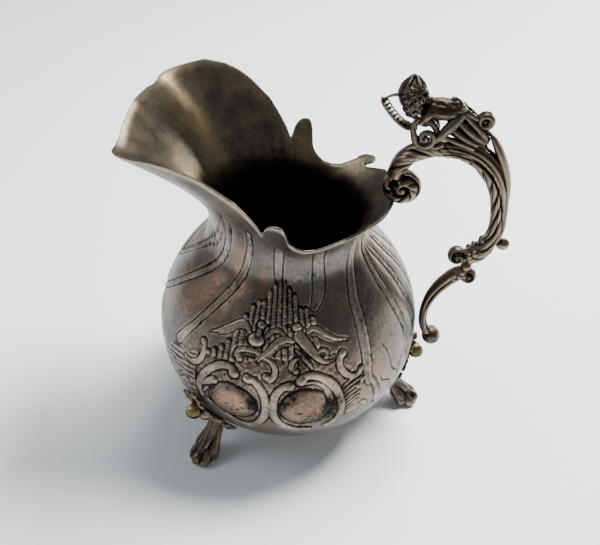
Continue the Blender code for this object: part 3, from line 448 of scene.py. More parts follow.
# All chasing is given as seen on the near half: degrees from the handle (counted as positive here),
# arc length up the body, and half width in mm.
chasing = {
    "ribs": [   # rows, lift, hatch from and to as shares of the length
        {"rows": [(106, 73.5, .5), (107.5, 70, .6), (110.1, 67.1, .75), (115, 62.1, .85), (119.8, 58.1, .85),
                  (125.4, 53.2, .8), (130.2, 48.8, .8), (133.4, 46.1, .95), (136.8, 42.6, 1.25)],
         "lift": .34, "hatch": (.16, .80)},
        {"rows": [(121.4, 73.4, .5), (123, 71.5, .65), (130.2, 67.1, .85), (139.8, 61.7, .95),
                  (148.6, 56.8, .9), (157.4, 51.4, .85), (167, 46.1, .8), (180, 39.5, .8)],
         "lift": .40, "ridge": True},
        {"rows": [(129, 71.2, .45), (140.6, 68, .6), (151, 66.3, .7), (160.6, 63.2, .8), (168.6, 59, .8),
                  (180, 52.0, .7)],
         "lift": .32, "ridge": True},
        {"rows": [(86.5, 72, .7), (86.8, 70, .95), (87.3, 67.6, .9), (87.0, 65.4, .8)], "lift": .26},
        {"rows": [(59, 71, 1.3), (59.3, 67, 1.35), (60, 64.0, 1.45), (62.4, 61.0, 1.35), (66, 58.6, .9)],
         "lift": .22},
        {"rows": [(22.4, 69.2, .9), (27.6, 67.4, .95), (32, 65.1, 1.0), (38, 61.5, 1.05), (42.2, 57.5, 1.1),
                  (44, 52.6, 1.2), (45.2, 47.2, 1.25), (46.2, 39.6, 1.15), (45.8, 36.5, .8)],
         "lift": .30, "double": True},
        {"rows": [(11.8, 67.6, .6), (14.8, 64.6, .7), (18.6, 60.2, .75), (20.4, 55.4, .9), (20.2, 50.8, 1.0),
                  (19.4, 46.4, 1.0), (18.2, 41.4, .8), (18.4, 36, .6), (16, 31.1, .5)],
         "lift": .30, "double": True},
        {"rows": [(8.8, 67, .5), (7.0, 63.3, .6), (6.4, 58.4, .7), (6.8, 51.7, .75), (7.2, 43.6, .7),
                  (6.6, 36, .6), (5, 30, .4)],
         "lift": .26, "double": True},
    ],
    "scrolls": [   # rows with half width; knob radius at the first row
        {"rows": [(98.0, 42.1, .95), (95.4, 41.9, .95), (92.8, 40.2, .95), (91.0, 37.4, 1.0),
                  (90.5, 34.2, 1.0), (91.7, 30.9, 1.0), (94.4, 28.0, .95), (98.6, 26.2, .8),
                  (103.5, 26.9, .6), (110, 28.6, .5), (117, 31.0, .4)], "lift": .62, "knob": 1.25},
        {"rows": [(104.3, 42.6, 1.0), (105.4, 43.7, .95), (108.4, 43.9, .95), (112.4, 42.9, .95),
                  (116.9, 40.4, .95), (120.2, 37.2, .9), (121.6, 34.0, .85), (120.4, 31.4, .6)],
         "lift": .62, "knob": 1.3},
        {"rows": [(113.6, 38.5, 1.0), (116.2, 37.4, .95), (119.4, 35.8, .5)], "lift": .5, "knob": 1.15},
        {"rows": [(113.4, 36.6, .3), (117.2, 35.0, .35), (119.4, 33.0, .3)], "lift": .35},
        {"rows": [(80.8, 41.1, .95), (83.6, 40.7, .95), (86.4, 38.6, .95), (87.7, 35.2, 1.0),
                  (87.2, 31.4, 1.0), (84.2, 28.1, .95), (79.0, 26.4, .85), (73, 25.8, .7)],
         "lift": .62, "knob": 1.25},
        {"rows": [(75.8, 42.4, 1.0), (74.4, 43.3, .95), (71.2, 43.5, 1.0), (67.0, 42.5, 1.05),
                  (63.0, 40.2, 1.1), (60.5, 37.0, 1.0), (59.2, 33.6, .9), (59.2, 30.2, .85),
                  (61.6, 27.6, .7), (66, 26.0, .55)], "lift": .62, "knob": 1.3},
        {"rows": [(74.0, 41.7, .3), (70.0, 41.6, .4), (66.4, 39.9, .5), (64.9, 38.0, .8), (64.2, 36.2, .95)],
         "lift": .42, "knobEnd": .95},
        # tendrils and C-scrolls round the birds
        {"rows": [(102.6, 46.8, .8), (104.4, 47.3, .6), (103.2, 48.6, .6), (99.8, 49.1, .65),
                  (95.6, 49.0, .6), (92.0, 48.0, .35)], "lift": .45, "knob": .95},
        {"rows": [(101.4, 47.4, .22), (99.6, 48.0, .25), (95.4, 47.9, .2)], "lift": .28},
        {"rows": [(90.4, 43.4, .75), (88.9, 42.6, .7), (87.2, 43.6, .7), (86.7, 45.2, .65), (87.9, 46.8, .6),
                  (90.2, 47.6, .4)], "lift": .5, "knob": .9},
        {"rows": [(76.0, 48.1, .4), (78.8, 47.5, .55), (79.9, 46.0, .6), (78.0, 44.9, .55)], "lift": .4,
         "knobEnd": .7},
        {"rows": [(77.2, 47.0, .2), (78.0, 45.9, .22)], "lift": .25},
        {"rows": [(68.4, 48.5, .4), (66.2, 49.2, .5), (64.0, 48.6, .5), (64.6, 47.4, .45)], "lift": .4,
         "knobEnd": .6},
        {"rows": [(57.0, 47.1, .85), (58.7, 46.0, .75), (58.8, 44.0, .75), (57.2, 42.2, .8), (54.4, 40.8, .8),
                  (51.4, 40.6, .75), (49.4, 41.7, .75)], "lift": .52, "knob": 1.0, "knobEnd": .85},
        {"rows": [(121.4, 47.0, .7), (120.2, 45.8, .6), (120.4, 43.6, .7), (122.4, 41.4, .8),
                  (126.0, 40.2, .8), (129.4, 40.4, .7)], "lift": .5, "knob": .9, "knobEnd": .8},
        {"rows": [(51.0, 37.2, .7), (48.4, 38.6, .6), (45.2, 37.6, .65), (42.8, 34.6, .7), (41.4, 31.2, .7),
                  (41.0, 27.4, .5)], "lift": .5, "knob": .9},
        {"rows": [(49.2, 30.9, .5), (47.0, 29.6, .5), (48.4, 27.8, .45), (50.6, 26.0, .3)], "lift": .4,
         "knob": .65},
        {"rows": [(135.0, 31.8, .5), (132.6, 33.6, .55), (128.8, 34.6, .6), (126.4, 33.4, .6)], "lift": .4,
         "knobEnd": .75},
    ],
    "feathers": [   # wings: leading edge rows with half width
        {"rows": [(99.6, 53.1, .5), (101.4, 54.4, .6), (104.6, 54.7, .7), (109.6, 53.1, .65),
                  (115.0, 51.2, .45), (119.0, 50.1, .16)], "lift": .5},
        {"rows": [(101.6, 53.6, .3), (105.6, 53.6, .5), (110.2, 51.9, .45), (114.6, 50.5, .2)], "lift": .34},
        {"rows": [(91.6, 52.4, .4), (89.4, 53.6, .55), (86.4, 54.2, .55), (83.6, 53.6, .45),
                  (81.8, 52.6, .2)], "lift": .42},
        {"rows": [(79.0, 51.9, .5), (82.2, 52.3, .8), (85.8, 51.6, .85), (89.0, 49.9, .75), (92.0, 48.3, .5),
                  (94.4, 46.8, .16)], "lift": .55},
        {"rows": [(80.4, 51.0, .3), (84.4, 50.8, .5), (88.2, 49.0, .4), (91.6, 47.4, .15)], "lift": .3},
        {"rows": [(71.4, 53.6, .45), (69.4, 54.2, .6), (66.4, 53.8, .65), (62.6, 52.2, .55), (58.4, 50.8, .4),
                  (53.4, 50.0, .14)], "lift": .5},
        {"rows": [(70.2, 53.0, .3), (66.8, 52.6, .4), (63.4, 51.3, .3), (60.0, 50.3, .15)], "lift": .3},
        {"rows": [(75.8, 52.9, 1.25), (73.6, 51.4, 1.3), (71.0, 49.6, 1.15), (68.6, 47.8, .8),
                  (65.6, 46.4, .5), (61.8, 46.2, .2)], "lift": .72},
        {"rows": [(77.6, 49.9, .4), (75.0, 48.4, .55), (72.4, 46.6, .5), (71.0, 45.2, .25)], "lift": .36},
        {"rows": [(66.0, 47.2, .3), (63.2, 46.9, .3), (60.6, 47.4, .2)], "lift": .3},
    ],
    "lumps": [   # place, half sizes along and across in mm, turn in degrees, lift
        (95.9, 51.7, 1.95, 1.6, 0, .72), (94.3, 55.0, 1.0, .95, 0, .66), (94.9, 53.4, .7, 1.1, 0, .6),
        (92.4, 55.1, .7, .28, 0, .35),                                        # left bird
        (76.6, 54.8, 1.15, .95, 0, .66), (79.6, 55.3, .8, .28, 0, .35),       # right bird's head
    ],
    "panels": [(105.4, 34.0, 6.0, 5.4, -14), (74.4, 34.2, 5.7, 5.7, 0)],
    # shellwork: outline from left to right on the near half, azimuth and arc length
    "shellTop": [(117.5, 46.0), (112.2, 48.2), (108.1, 50.8), (104.8, 56.0), (101.2, 57.6), (99.2, 60.3),
                 (92.6, 60.6), (91.6, 62.4), (88.4, 64.2), (83.6, 64.8), (79.8, 63.4), (76.4, 61.9),
                 (75.4, 60.0), (73.6, 58.9), (69.4, 59.1), (66.4, 57.8), (66.9, 55.0)],
    "finTop": [(143.0, 38.4), (140.6, 40.9), (136.6, 41.0), (133.4, 41.9), (127.4, 42.7), (123.0, 45.0)],
    "matted": [(119, 44.2), (104, 45.2), (89, 47.6), (60, 46.2), (56, 44.0)],
    "grooves": [
        [(36.8, 44.8, .14), (34.4, 41.9, .2), (33.2, 38.7, .22), (32.4, 36, .2), (28, 32.9, .12)],
        [(40.4, 38.0, .12), (38.8, 34.7, .2), (33.6, 32.3, .22), (31.6, 29.4, .2), (30.4, 26.6, .1)],
        [(21.8, 37.4, .12), (25.8, 35.6, .2), (27.2, 32.8, .2), (26.6, 29.6, .12)],
        [(141.5, 38.6, .1), (137, 37.6, .18), (132, 38.2, .14)],
        [(142.6, 36.8, .1), (137, 35.8, .18), (131, 36.4, .14)],
        [(144.4, 34.6, .1), (139, 33.6, .18), (134, 33.9, .12)],
        [(146, 32.4, .1), (141, 31.2, .18), (137.4, 31.2, .12)],
    ],
    "rays": {"count": 9, "high": 39.6, "step": 1.32, "left": 58.6, "middle": 54.6, "right": 49.6, "lift": .4},
    "comb": {"pitch": 2.9, "scallop": .6, "tick": .72, "lift": .46},
    # copper showing through: azimuth, arc, spread in degrees and mm, strength
    "copper": [(116, 65, 5, 6, .7), (108, 62, 4, 5, .5), (132, 60, 8, 5, .4), (97, 64, 4, 5, .5),
               (122, 38, 8, 6, .25), (86, 60, 5, 4, .3), (52, 62, 6, 5, .3), (60, 44, 8, 5, .25)],
}


# The pattern is worked out on a flat sheet: columns of azimuth, rows of arc length.
perDegree = math.radians(1) * bodyForm["flatRadius"]
sheetCell = 0.1
sheetAcross = np.arange(0, 180 * perDegree + sheetCell, sheetCell)
sheetUp = np.arange(0, bodyForm["flatHeight"], sheetCell)
flatU, flatS = np.meshgrid(sheetAcross, sheetUp)
flatAzimuth = flatU / perDegree
localScale = np.interp(sheetUp, profileArc, profileFine[:, 0]) / bodyForm["flatRadius"]    # mm for a flat mm
raised, cut, edgeShine = (np.zeros_like(flatU) for _ in range(3))


def nearStroke(a, b, reach):           # window of the sheet near a segment, with distance and share
    scale = np.interp((a[1] + b[1]) / 2, sheetUp, localScale)
    lowU, highU = sorted((a[0] * perDegree, b[0] * perDegree))
    lowS, highS = sorted((a[1], b[1]))
    wide = reach / scale
    columns = slice(max(0, int((lowU - wide) / sheetCell)), int((highU + wide) / sheetCell) + 2)
    rows = slice(max(0, int((lowS - reach) / sheetCell)), int((highS + reach) / sheetCell) + 2)
    x = (flatU[rows, columns] - a[0] * perDegree) * scale
    y = flatS[rows, columns] - a[1]
    dx, dy = (b[0] - a[0]) * perDegree * scale, b[1] - a[1]
    length = dx * dx + dy * dy + 1e-9
    share = np.clip((x * dx + y * dy) / length, 0, 1)
    return (rows, columns), np.hypot(x - share * dx, y - share * dy), share, math.sqrt(length)


def sheetPath(rows, count):            # smooth path over the sheet, in degrees and mm
    path = smoothRows(np.asarray(rows, float) * (perDegree, 1, 1), count)
    path[:, 0] /= perDegree
    return path


def press(sheet, values, window=...):  # the higher of what is there and the new form
    sheet[window] = np.maximum(sheet[window], values)


def stroke(rows, lift, knob=0, knobEnd=0, hatch=None, double=False, ridge=False, groove=0.3, pitch=1.15):
    path = sheetPath(rows, max(6, len(rows) * 9))
    along = 0
    for k, (a, b) in enumerate(zip(path, path[1:])):
        window, distance, share, length = nearStroke(a, b, max(a[2], b[2]) + 1.3)
        half = a[2] + (b[2] - a[2]) * share
        part = k / (len(path) - 1)
        across = distance / half
        dome = np.sqrt(np.clip(1 - across ** 3.2, 0, 1)) * (.80 + .20 * np.minimum(across, 1) ** 2)
        if double:                                     # a flat band between two fine raised lines
            dome = bell(distance - half * .80, half * .20 + .06) + 0.48 * (across < .7)
        if ridge:
            dome = np.clip(1.15 - 1.15 * across, 0, 1)
        if hatch and hatch[0] < part < hatch[1]:
            ticks = .5 + .5 * np.cos((along + share * length) * 2 * math.pi / pitch)
            dome = dome * (1 - .55 * ticks * (across < .62))
        press(raised, lift * dome, window)
        press(cut, groove * bell(distance - half - 0.10, 0.17), window)
        # painted highlight: a bright line along each raised edge of the stroke
        edgeShine[window] *= distance > half * .7
        press(edgeShine, bell(distance - half * .84, .15), window)
        along += length
    for radius, end in ((knob, path[0]), (knobEnd, path[-1])):
        if radius:
            window, distance, _, _ = nearStroke(end, end, radius + 1)
            press(raised, (lift + .16) * np.sqrt(np.clip(1 - (distance / radius) ** 2, 0, 1)), window)
            press(cut, groove * bell(distance - radius - .1, .2), window)


def ovalShare(x, y, halfAlong, halfAcross, turn):      # 0 in the middle, 1 on the edge
    c, s = cosSin(turn)
    return np.hypot((x * c + y * s) / halfAlong, (y * c - x * s) / halfAcross)


def lump(azimuth, arc, halfAlong, halfAcross, turn, lift):
    spotAt = (azimuth, arc)
    window, _, _, _ = nearStroke(spotAt, spotAt, max(halfAlong, halfAcross) + 1)
    x = (flatU[window] - azimuth * perDegree) * np.interp(arc, sheetUp, localScale)
    r = ovalShare(x, flatS[window] - arc, halfAlong, halfAcross, turn)
    press(raised, lift * np.clip(1 - r * r, 0, 1) ** .5, window)
    press(cut, 0.3 * bell((r - 1.08) * min(halfAlong, halfAcross), .28), window)


def insideLine(rows, azimuth):         # height of an outline over each azimuth, nothing outside its ends
    rows = np.asarray(rows, float)
    rows = rows[np.argsort(rows[:, 0])]
    return np.interp(azimuth, rows[:, 0], rows[:, 1], left=-99, right=-99)


def evened(noise):                     # its spread made 1
    return noise / noise.std()


def chaseBody():
    for values in chasing["ribs"] + chasing["scrolls"] + chasing["feathers"]:
        stroke(**values)
    rays = chasing["rays"]
    for k in range(rays["count"]):                     # curved rays that fan out beside the right frame
        level = rays["high"] - rays["step"] * k
        stroke([(rays["left"] - .25 * k, level - .9, .16), (rays["middle"], level + .2, .36),
                (rays["right"] + .3 * k, level + .9, .34)], rays["lift"], groove=.26)
    for values in chasing["lumps"]:
        lump(*values)
    for rows in chasing["grooves"]:
        path = sheetPath(rows, 24)
        for a, b in zip(path, path[1:]):
            window, distance, _, _ = nearStroke(a, b, 1.2)
            press(cut, a[2] * 1.6 * bell(distance, 0.26), window)
    clear = 1 - smoothStep(.08, .26, np.maximum(raised, cut * 0.6))
    # convex panels inside the two frames
    panel, panelEdge, tint = (np.zeros_like(flatU) for _ in range(3))
    for azimuth, arc, halfAlong, halfAcross, turn in chasing["panels"]:
        y = flatS - arc
        r = ovalShare((flatAzimuth - azimuth) * perDegree * 0.98, y, halfAlong, halfAcross, turn)
        press(panel, 0.60 * np.clip(1 - r ** 2.6, 0, 1) ** 0.8)
        press(tint, smoothStep(1.0, .45, r))
        press(panelEdge, smoothStep(.45, .95, r + .035 * y) * (r < 1.04))
        press(cut, 0.30 * bell((r - 1.03) * 5.6, .34))
    # comb of upright flutes with cross ticks under a ragged raised edge
    comb = chasing["comb"]
    flute = np.floor(flatAzimuth / comb["pitch"]) + .5
    inFlute = 2 * (flatAzimuth / comb["pitch"] - flute)              # from -1 to 1 across a flute
    top = insideLine(chasing["shellTop"], flute * comb["pitch"]) - comb["scallop"] * inFlute ** 2
    base = np.interp(flatAzimuth, *np.transpose(sorted(chasing["matted"])))
    inside = smoothStep(0, .3, top - flatS) * smoothStep(0, .8, flatS - base)
    tick = .86 + .14 * np.cos(flatS * 2 * math.pi / comb["tick"] + flute)
    fluted = (1 - inFlute ** 2) ** .7 * tick
    lip = bell(top - flatS - .42, .26) * (flatS > base)
    shell = inside * (.06 + comb["lift"] * np.maximum(fluted, 1.15 * lip)) * clear
    press(cut, .3 * bell(flatS - top - .1, .22) * (top > base) * clear)
    gully = inside * clear * smoothStep(.55, 1, np.abs(inFlute))
    # fins at the left
    fin = smoothStep(0, .6, insideLine(chasing["finTop"], flatAzimuth) - flatS) * smoothStep(29, 31, flatS)
    fan = np.abs(np.sin((flatS * 1.05 + (flatAzimuth - 123) * .16) * math.pi / 1.5)) ** .7
    fins = fin * smoothStep(147, 144, flatAzimuth) * .38 * fan * clear
    # soft gores between the ribs, a sunk ground round the ornament
    ribValley = np.zeros_like(flatU)
    for values in chasing["ribs"]:
        path = sheetPath(values["rows"], 40)
        for a, b in zip(path, path[1:]):
            window, distance, _, _ = nearStroke(a, b, 4.5)
            press(ribValley, bell(distance, 2.1), window)
    ground = -0.26 * ribValley * smoothStep(28, 40, flatS)
    random = np.random.default_rng(7)
    pitting = evened(blurred(random.standard_normal(flatU.shape), 2))
    matted = smoothStep(base - 2, base + 1, flatS) * (top > flatS) * clear
    wander = evened(blurred(random.standard_normal(flatU.shape), 22))
    belt = smoothStep(24, 29, flatS) * smoothStep(70, 64, flatS) * smoothStep(40, 48, flatAzimuth) * \
        smoothStep(148, 140, flatAzimuth)
    # ground between the birds, scrolls and frames
    field = smoothStep(26, 30, flatS) * smoothStep(base + 2.5, base - .5, flatS) * \
        smoothStep(48, 56, flatAzimuth) * smoothStep(132, 122, flatAzimuth) * clear * (panel < .02)
    rough = np.maximum(matted, field)
    relief = ground - 0.22 * belt + np.maximum.reduce([raised, panel, shell, fins]) - cut * .8
    relief += 0.022 * wander + (0.012 + 0.04 * rough) * pitting * smoothStep(20, 26, flatS)
    relief *= smoothStep(4, 12, flatS)
    sunk = blurred(relief, 8) - relief
    fine = blurred(relief, 3) - relief
    dark = .55 * smoothStep(.05, .30, sunk) + .55 * smoothStep(.02, .11, fine)
    dark += .26 * smoothStep(.12, .34, cut) + .30 * rough + .45 * gully
    # wear on the high points plus the painted edge highlights
    bright = .75 * smoothStep(.05, .24, -sunk) + .75 * smoothStep(.015, .07, -fine) + .75 * edgeShine
    coppery = sum(size * spot(flatAzimuth - azimuth, wide, flatS - arc, high)
                  for azimuth, arc, wide, high, size in chasing["copper"])
    dark += smoothStep(1.0, 2.4, pitting) * (.4 * smoothStep(.05, .4, panel) + .2)
    dark += panelEdge * (.42 + .28 * np.tanh(wander))
    cloudy = evened(blurred(random.standard_normal(flatU.shape), 34))
    dark += .3 * smoothStep(.2, 1.8, cloudy) * smoothStep(24, 34, flatS)
    tint = 1.1 * tint * (.6 + .4 * np.tanh(wander)) + coppery * (.7 + .3 * np.tanh(wander))
    return relief, np.clip(dark, 0, 1), np.clip(bright, 0, 1), np.clip(tint, 0, 1)


relief, darkMap, brightMap, tintMap = chaseBody()


def stains(seed, wide, high):                  # even noise on the flat sheet
    noise = np.random.default_rng(seed).standard_normal(flatU.shape)
    return evened(blurred(blurred(noise, wide, (1,)), high, (0,)))


streakMap = .45 * stains(11, 9, 24) + .85 * stains(12, 18, 14)
fleckMap = .8 * stains(13, 5, 7) + .6 * stains(14, 16, 12)
print("chasing is worked out")


def sampled(field, azimuth, arc):
    x = np.clip(azimuth * perDegree / sheetCell, 0, field.shape[1] - 1.001)
    y = np.clip(arc / sheetCell, 0, field.shape[0] - 1.001)
    i, j = x.astype(int), y.astype(int)
    x, y = x - i, y - j
    return ((field[j, i] * (1 - x) + field[j, i + 1] * x) * (1 - y)
            + (field[j + 1, i] * (1 - x) + field[j + 1, i + 1] * x) * y)


def joined(*parts):
    points, faces, start = [], [], 0
    for place, polygons in parts:
        points.append(np.asarray(place))
        faces += [[k + start for k in face] for face in polygons]
        start += len(place)
    return np.vstack(points), faces


def rimTongue(side):                            # closed plate of the same sheet that runs past the cut
    path = smoothRows(bodyForm["tongue"], 26)
    across = np.linspace(-1, 1, bodyForm["tongueAcross"])
    azimuth = np.repeat(path[:, :1], len(across), 1)
    height = path[:, 1:2] + path[:, 2:3] * across
    arc = np.array([[rimArc(a, h) for a, h in zip(*row)] for row in zip(azimuth, height)])
    place, normal = bodyPoint(azimuth, arc), bodyNormal(azimuth, arc)
    soft = .12 * np.abs(across) ** 4
    outer = place - normal * (.04 + soft)[None, :, None]
    inner = place - normal * (bodyForm["wall"] - .04 - soft)[None, :, None]
    loop = np.concatenate([outer, inner[:, ::-1]], 1)
    loop[..., 1] = side * (loop[..., 1] + bodyForm["seam"])
    index = np.arange(loop.shape[0] * loop.shape[1]).reshape(loop.shape[:2])
    after = np.roll(index, -1, 1)
    quads = np.stack([index[:-1], index[1:], after[1:], after[:-1]], -1).reshape(-1, 4)
    faces = [list(face) for face in quads] + [list(index[0]), list(index[-1][::-1])]
    return loop.reshape(-1, 3), [face[::side] for face in faces]


def spaced(*knots):                             # runs of even spacing: (from, to, count)
    runs = [np.linspace(low, high, count, endpoint=False) for low, high, count in knots]
    return np.concatenate(runs + [[knots[-1][1]]])


def bodyHalf(name, side):
    wall, underRim = bodyForm["wall"], 0.35     # the faces stop this far under the rounded edge
    azimuth = spaced((0, 44, 70), (44, 148, 252), (148, 180, 44))
    rimRows = np.array(bodyForm["rim"][::-1])
    rimHeight = np.interp(azimuth, rimRows[:, 0], rimRows[:, 1])
    rimHeight = blurred(np.r_[rimHeight[0], rimHeight, rimHeight[-1]][:, None], 1, (0,))[1:-1, 0]
    rim = np.array([rimArc(a, h) for a, h in zip(azimuth, rimHeight)])
    # outer face, rounded edge and inner face: azimuth, arc and point of each
    low = spaced((bodyForm["baseStart"], 22, 16), (22, 62, 156))
    share = np.linspace(0, 1, 26)[1:, None]
    arcs = np.concatenate([np.repeat(low[:, None], len(azimuth), 1),
                           low[-1] + share * (rim - underRim - low[-1])])
    edgeArc = np.stack([rim - .12, rim + .02, rim - .12])
    innerShare = np.r_[underRim / 60, np.linspace(.015, .45, 34), np.linspace(.47, 1, 18)][:, None]
    innerArc = rim - underRim - innerShare * (rim - underRim - bodyForm["baseStart"])
    angles, edgeAngles, innerAngles = (np.repeat(azimuth[None], len(part), 0)
                                       for part in (arcs, edgeArc, innerArc))
    under = rim - innerArc                      # depth under the rim
    nearRim = smoothStep(0, 2.2, rim - arcs)
    dent = 0.6 * sampled(blurred(relief, 8), innerAngles, innerArc) * smoothStep(1, 5, under)
    edgeDepth = np.repeat([[.12], [wall / 2], [wall - .12]], len(azimuth), 1)
    around = np.concatenate([angles, edgeAngles, innerAngles])
    along = np.concatenate([arcs, edgeArc, innerArc])
    lift = np.concatenate([sampled(relief, angles, arcs) * nearRim, -edgeDepth, dent - wall])
    loop = bodyPoint(around, along) + bodyNormal(around, along) * lift[..., None]
    loop[..., 1] = side * (loop[..., 1] + bodyForm["seam"])
    rows, columns = loop.shape[:2]
    index = np.arange(rows * columns).reshape(rows, columns)
    below = np.roll(index, -1, 0)
    quads = np.stack([index[:, :-1], index[:, 1:], below[:, 1:], below[:, :-1]], -1).reshape(-1, 4)
    faces = [face[::side] for face in [*quads, index[::-1, 0], index[:, -1]]]
    rowKind = np.r_[np.zeros(len(arcs) + 1), np.ones(rows - len(arcs) - 1)]
    # age of the metal and painted light: gilding, painted shade that deepens into the bowl, wear along the
    # rim, and patina, wear and painted edge highlights on the chasing
    depth = np.concatenate([np.zeros_like(arcs), np.zeros_like(edgeArc), under])
    gild = sum(size * spot(around - middle, wide, depth - level, high) * (depth > 0)
               for middle, level, wide, high, size in bodyForm["gilding"][name])
    gild[:len(arcs)] = sampled(tintMap, angles, arcs)
    streak = sampled(streakMap, innerAngles, innerArc)
    gild[-len(innerArc):] += .35 * smoothStep(.2, 1.6, streak) * smoothStep(6, 12, under)
    shade = bodyForm["shade"]
    middles, starts, fulls = zip(*shade[name])
    start, full = np.interp(innerAngles, middles, starts), np.interp(innerAngles, middles, fulls)
    fleck = smoothStep(.9, 1.7, sampled(fleckMap, innerAngles, innerArc))
    # painted shade that darkens the inside with depth under the rim, broken by flecks
    paintedInnerShade = smoothStep(start, full, under + streak * shade["streak"]) * (1 - shade["fleck"] * fleck)
    dark = np.concatenate([sampled(darkMap, angles, arcs) * nearRim, np.zeros_like(edgeArc), paintedInnerShade])
    wearAndHighlight = np.concatenate([sampled(brightMap, angles, arcs) * nearRim + .75 * smoothStep(1.3, .3, rim - arcs),
                           np.ones_like(edgeArc), .5 * smoothStep(3, 0, under)])
    tonguePoints, tongueFaces = rimTongue(side)
    points, faces = joined((loop.reshape(-1, 3), faces), (tonguePoints, tongueFaces))
    across = bodyForm["tongueAcross"]
    tongueKind = np.tile(np.r_[np.zeros(across - 1), np.ones(across + 1)], len(tongueFaces) // (2 * across))
    kinds = np.r_[np.repeat(rowKind, columns - 1), 1, 1, tongueKind, 0, 0].astype(int)
    fields = {key: np.r_[values.ravel(), np.full(len(tonguePoints), onTongue)]
              for key, values, onTongue in (("patinaAndShade", dark, .1), ("wearAndHighlight", wearAndHighlight, .5), ("gild", gild, 0))}
    newPiece(name, points, faces, "sheet_silver", [name.replace("chased", "body")],
             [sheetSilver, insideSilver], kinds, fields)


for sideName, side in (("near", -1), ("far", 1)):
    bodyHalf(f"chased_{sideName}_half", side)
print("both halves of the body are made")


# helpers for the cast pieces
def closedFaces(rings, sides, step=1):         # faces of a closed form whose two poles come last
    index = np.arange(rings * sides).reshape(rings, sides)
    after = np.roll(index, -1, 1)
    faces = np.stack([index[:-1], after[:-1], after[1:], index[1:]], -1).reshape(-1, 4).tolist()
    faces += [[rings * sides, b, a] for a, b in zip(index[0], after[0])]
    faces += [[rings * sides + 1, a, b] for a, b in zip(index[-1], after[-1])]
    return [face[::step] for face in faces]


def sweep(rows, steps, sides, flatness=1.0, carve=None):
    # closed rod along (x, z, radius) rows; carve gives the lift at a share of the length and an angle,
    # where 0 faces outward (left of the path) and pi / 2 faces the near side
    path = smoothRows(rows, steps)
    tangents = np.gradient(path[:, :2], axis=0)
    tangents /= np.linalg.norm(tangents, axis=1, keepdims=True)
    share = np.linspace(0, 1, steps)
    angle = np.linspace(0, 2 * math.pi, sides, endpoint=False)
    radius = path[:, 2:3] * np.ones(sides)
    if carve:
        radius = radius + carve(share[:, None], np.abs((angle + math.pi) % (2 * math.pi) - math.pi)[None])
    level = np.zeros(steps)
    out = np.stack([-tangents[:, 1], level, tangents[:, 0]], -1)
    ahead = np.stack([tangents[:, 0], level, tangents[:, 1]], -1)
    ring = (radius * np.cos(angle))[..., None] * out[:, None] \
        + (radius * flatness * np.sin(angle))[..., None] * np.array([0, -1.0, 0])
    centre = np.stack([path[:, 0], level, path[:, 1]], -1)
    poles = [centre[0] - ahead[0] * path[0, 2] * .8, centre[-1] + ahead[-1] * path[-1, 2] * .8]
    return np.vstack([(centre[:, None] + ring).reshape(-1, 3), poles]), closedFaces(steps, sides)


def volute(centre, radius, half, turns=1.6, start=0.0, hand=1, depth=0.3, lobes=0, pits=()):
    # round curl in the plane y = 0 with a spiral channel cut in both faces
    rings, sectors = 30, 80
    r = np.linspace(0, 1, rings + 1)[1:, None]
    angle = np.linspace(0, 2 * math.pi, sectors, endpoint=False)[None]
    phase = hand * (angle - start) + turns * 2 * math.pi * r
    ridge = np.abs(np.sin(phase / 2)) ** .8
    height = half * np.sqrt(1 - (r * .995) ** 2.6) * (1 - depth * (1 - ridge) * smoothStep(.06, .2, r)
                                                     * smoothStep(1, .82, r))
    if lobes:
        height = height * (1 - .18 * (1 - np.abs(np.sin(lobes * (angle + r * 1.4)))) * smoothStep(.3, .6, r))
    for pitAngle, pitShare, pitSize in pits:               # dark hollows between the leaf and the curl
        away = np.hypot(r * np.cos(angle) - pitShare * math.cos(pitAngle),
                        r * np.sin(angle) - pitShare * math.sin(pitAngle))
        height = height * (1 - .62 * bell(away, pitSize))
    height[-1] = 0                                         # both faces meet in the edge
    reach = radius * (1 + .05 * np.sin(angle - start))
    across, up = reach * r * np.cos(angle), reach * r * np.sin(angle)
    near = np.stack([centre[0] + across, -height, centre[1] + up], -1)
    far = near[-2::-1] * (1, -1, 1)
    tips = [(centre[0], -half, centre[1]), (centre[0], half, centre[1])]
    return np.vstack([near.reshape(-1, 3), far.reshape(-1, 3), tips]), closedFaces(2 * rings - 1, sectors, -1)


def chain(rows, spacing=0.3):                  # rows of (x, y, z, radius) as closely set balls
    rows = np.asarray(rows, float)
    balls = [rows[-1]]
    for a, b in zip(rows, rows[1:]):
        steps = max(1, int(np.linalg.norm(b[:3] - a[:3]) / (spacing * max(min(a[3], b[3]), .15))))
        balls += [a + (b - a) * t for t in np.arange(steps) / steps]
    return balls


def bent(rows, count=24):                      # the same rows on a smooth curve
    return splined(rows, max(2, count // (len(rows) - 1)))


def ropes(*courses, spacing=0.3):              # balls along courses, smooth where they have three rows
    return [ball for rows in courses for ball in chain(bent(rows) if len(rows) > 2 else rows, spacing)]


def mirrored(rows, side):
    return [(x, side * y, z, radius) for x, y, z, radius in rows]


ballShape = bmesh.new()
bmesh.ops.create_icosphere(ballShape, subdivisions=2, radius=1)
ballPoints = np.array([v.co for v in ballShape.verts])
ballFaces = np.array([[v.index for v in f.verts] for f in ballShape.faces])
ballShape.free()


def ballsMesh(balls):
    balls = np.asarray(balls, float)
    points = (balls[:, None, :3] + ballPoints * balls[:, None, 3:4]).reshape(-1, 3)
    faces = (ballFaces[None] + (np.arange(len(balls)) * len(ballPoints))[:, None, None]).reshape(-1, 3)
    return points, faces.tolist()


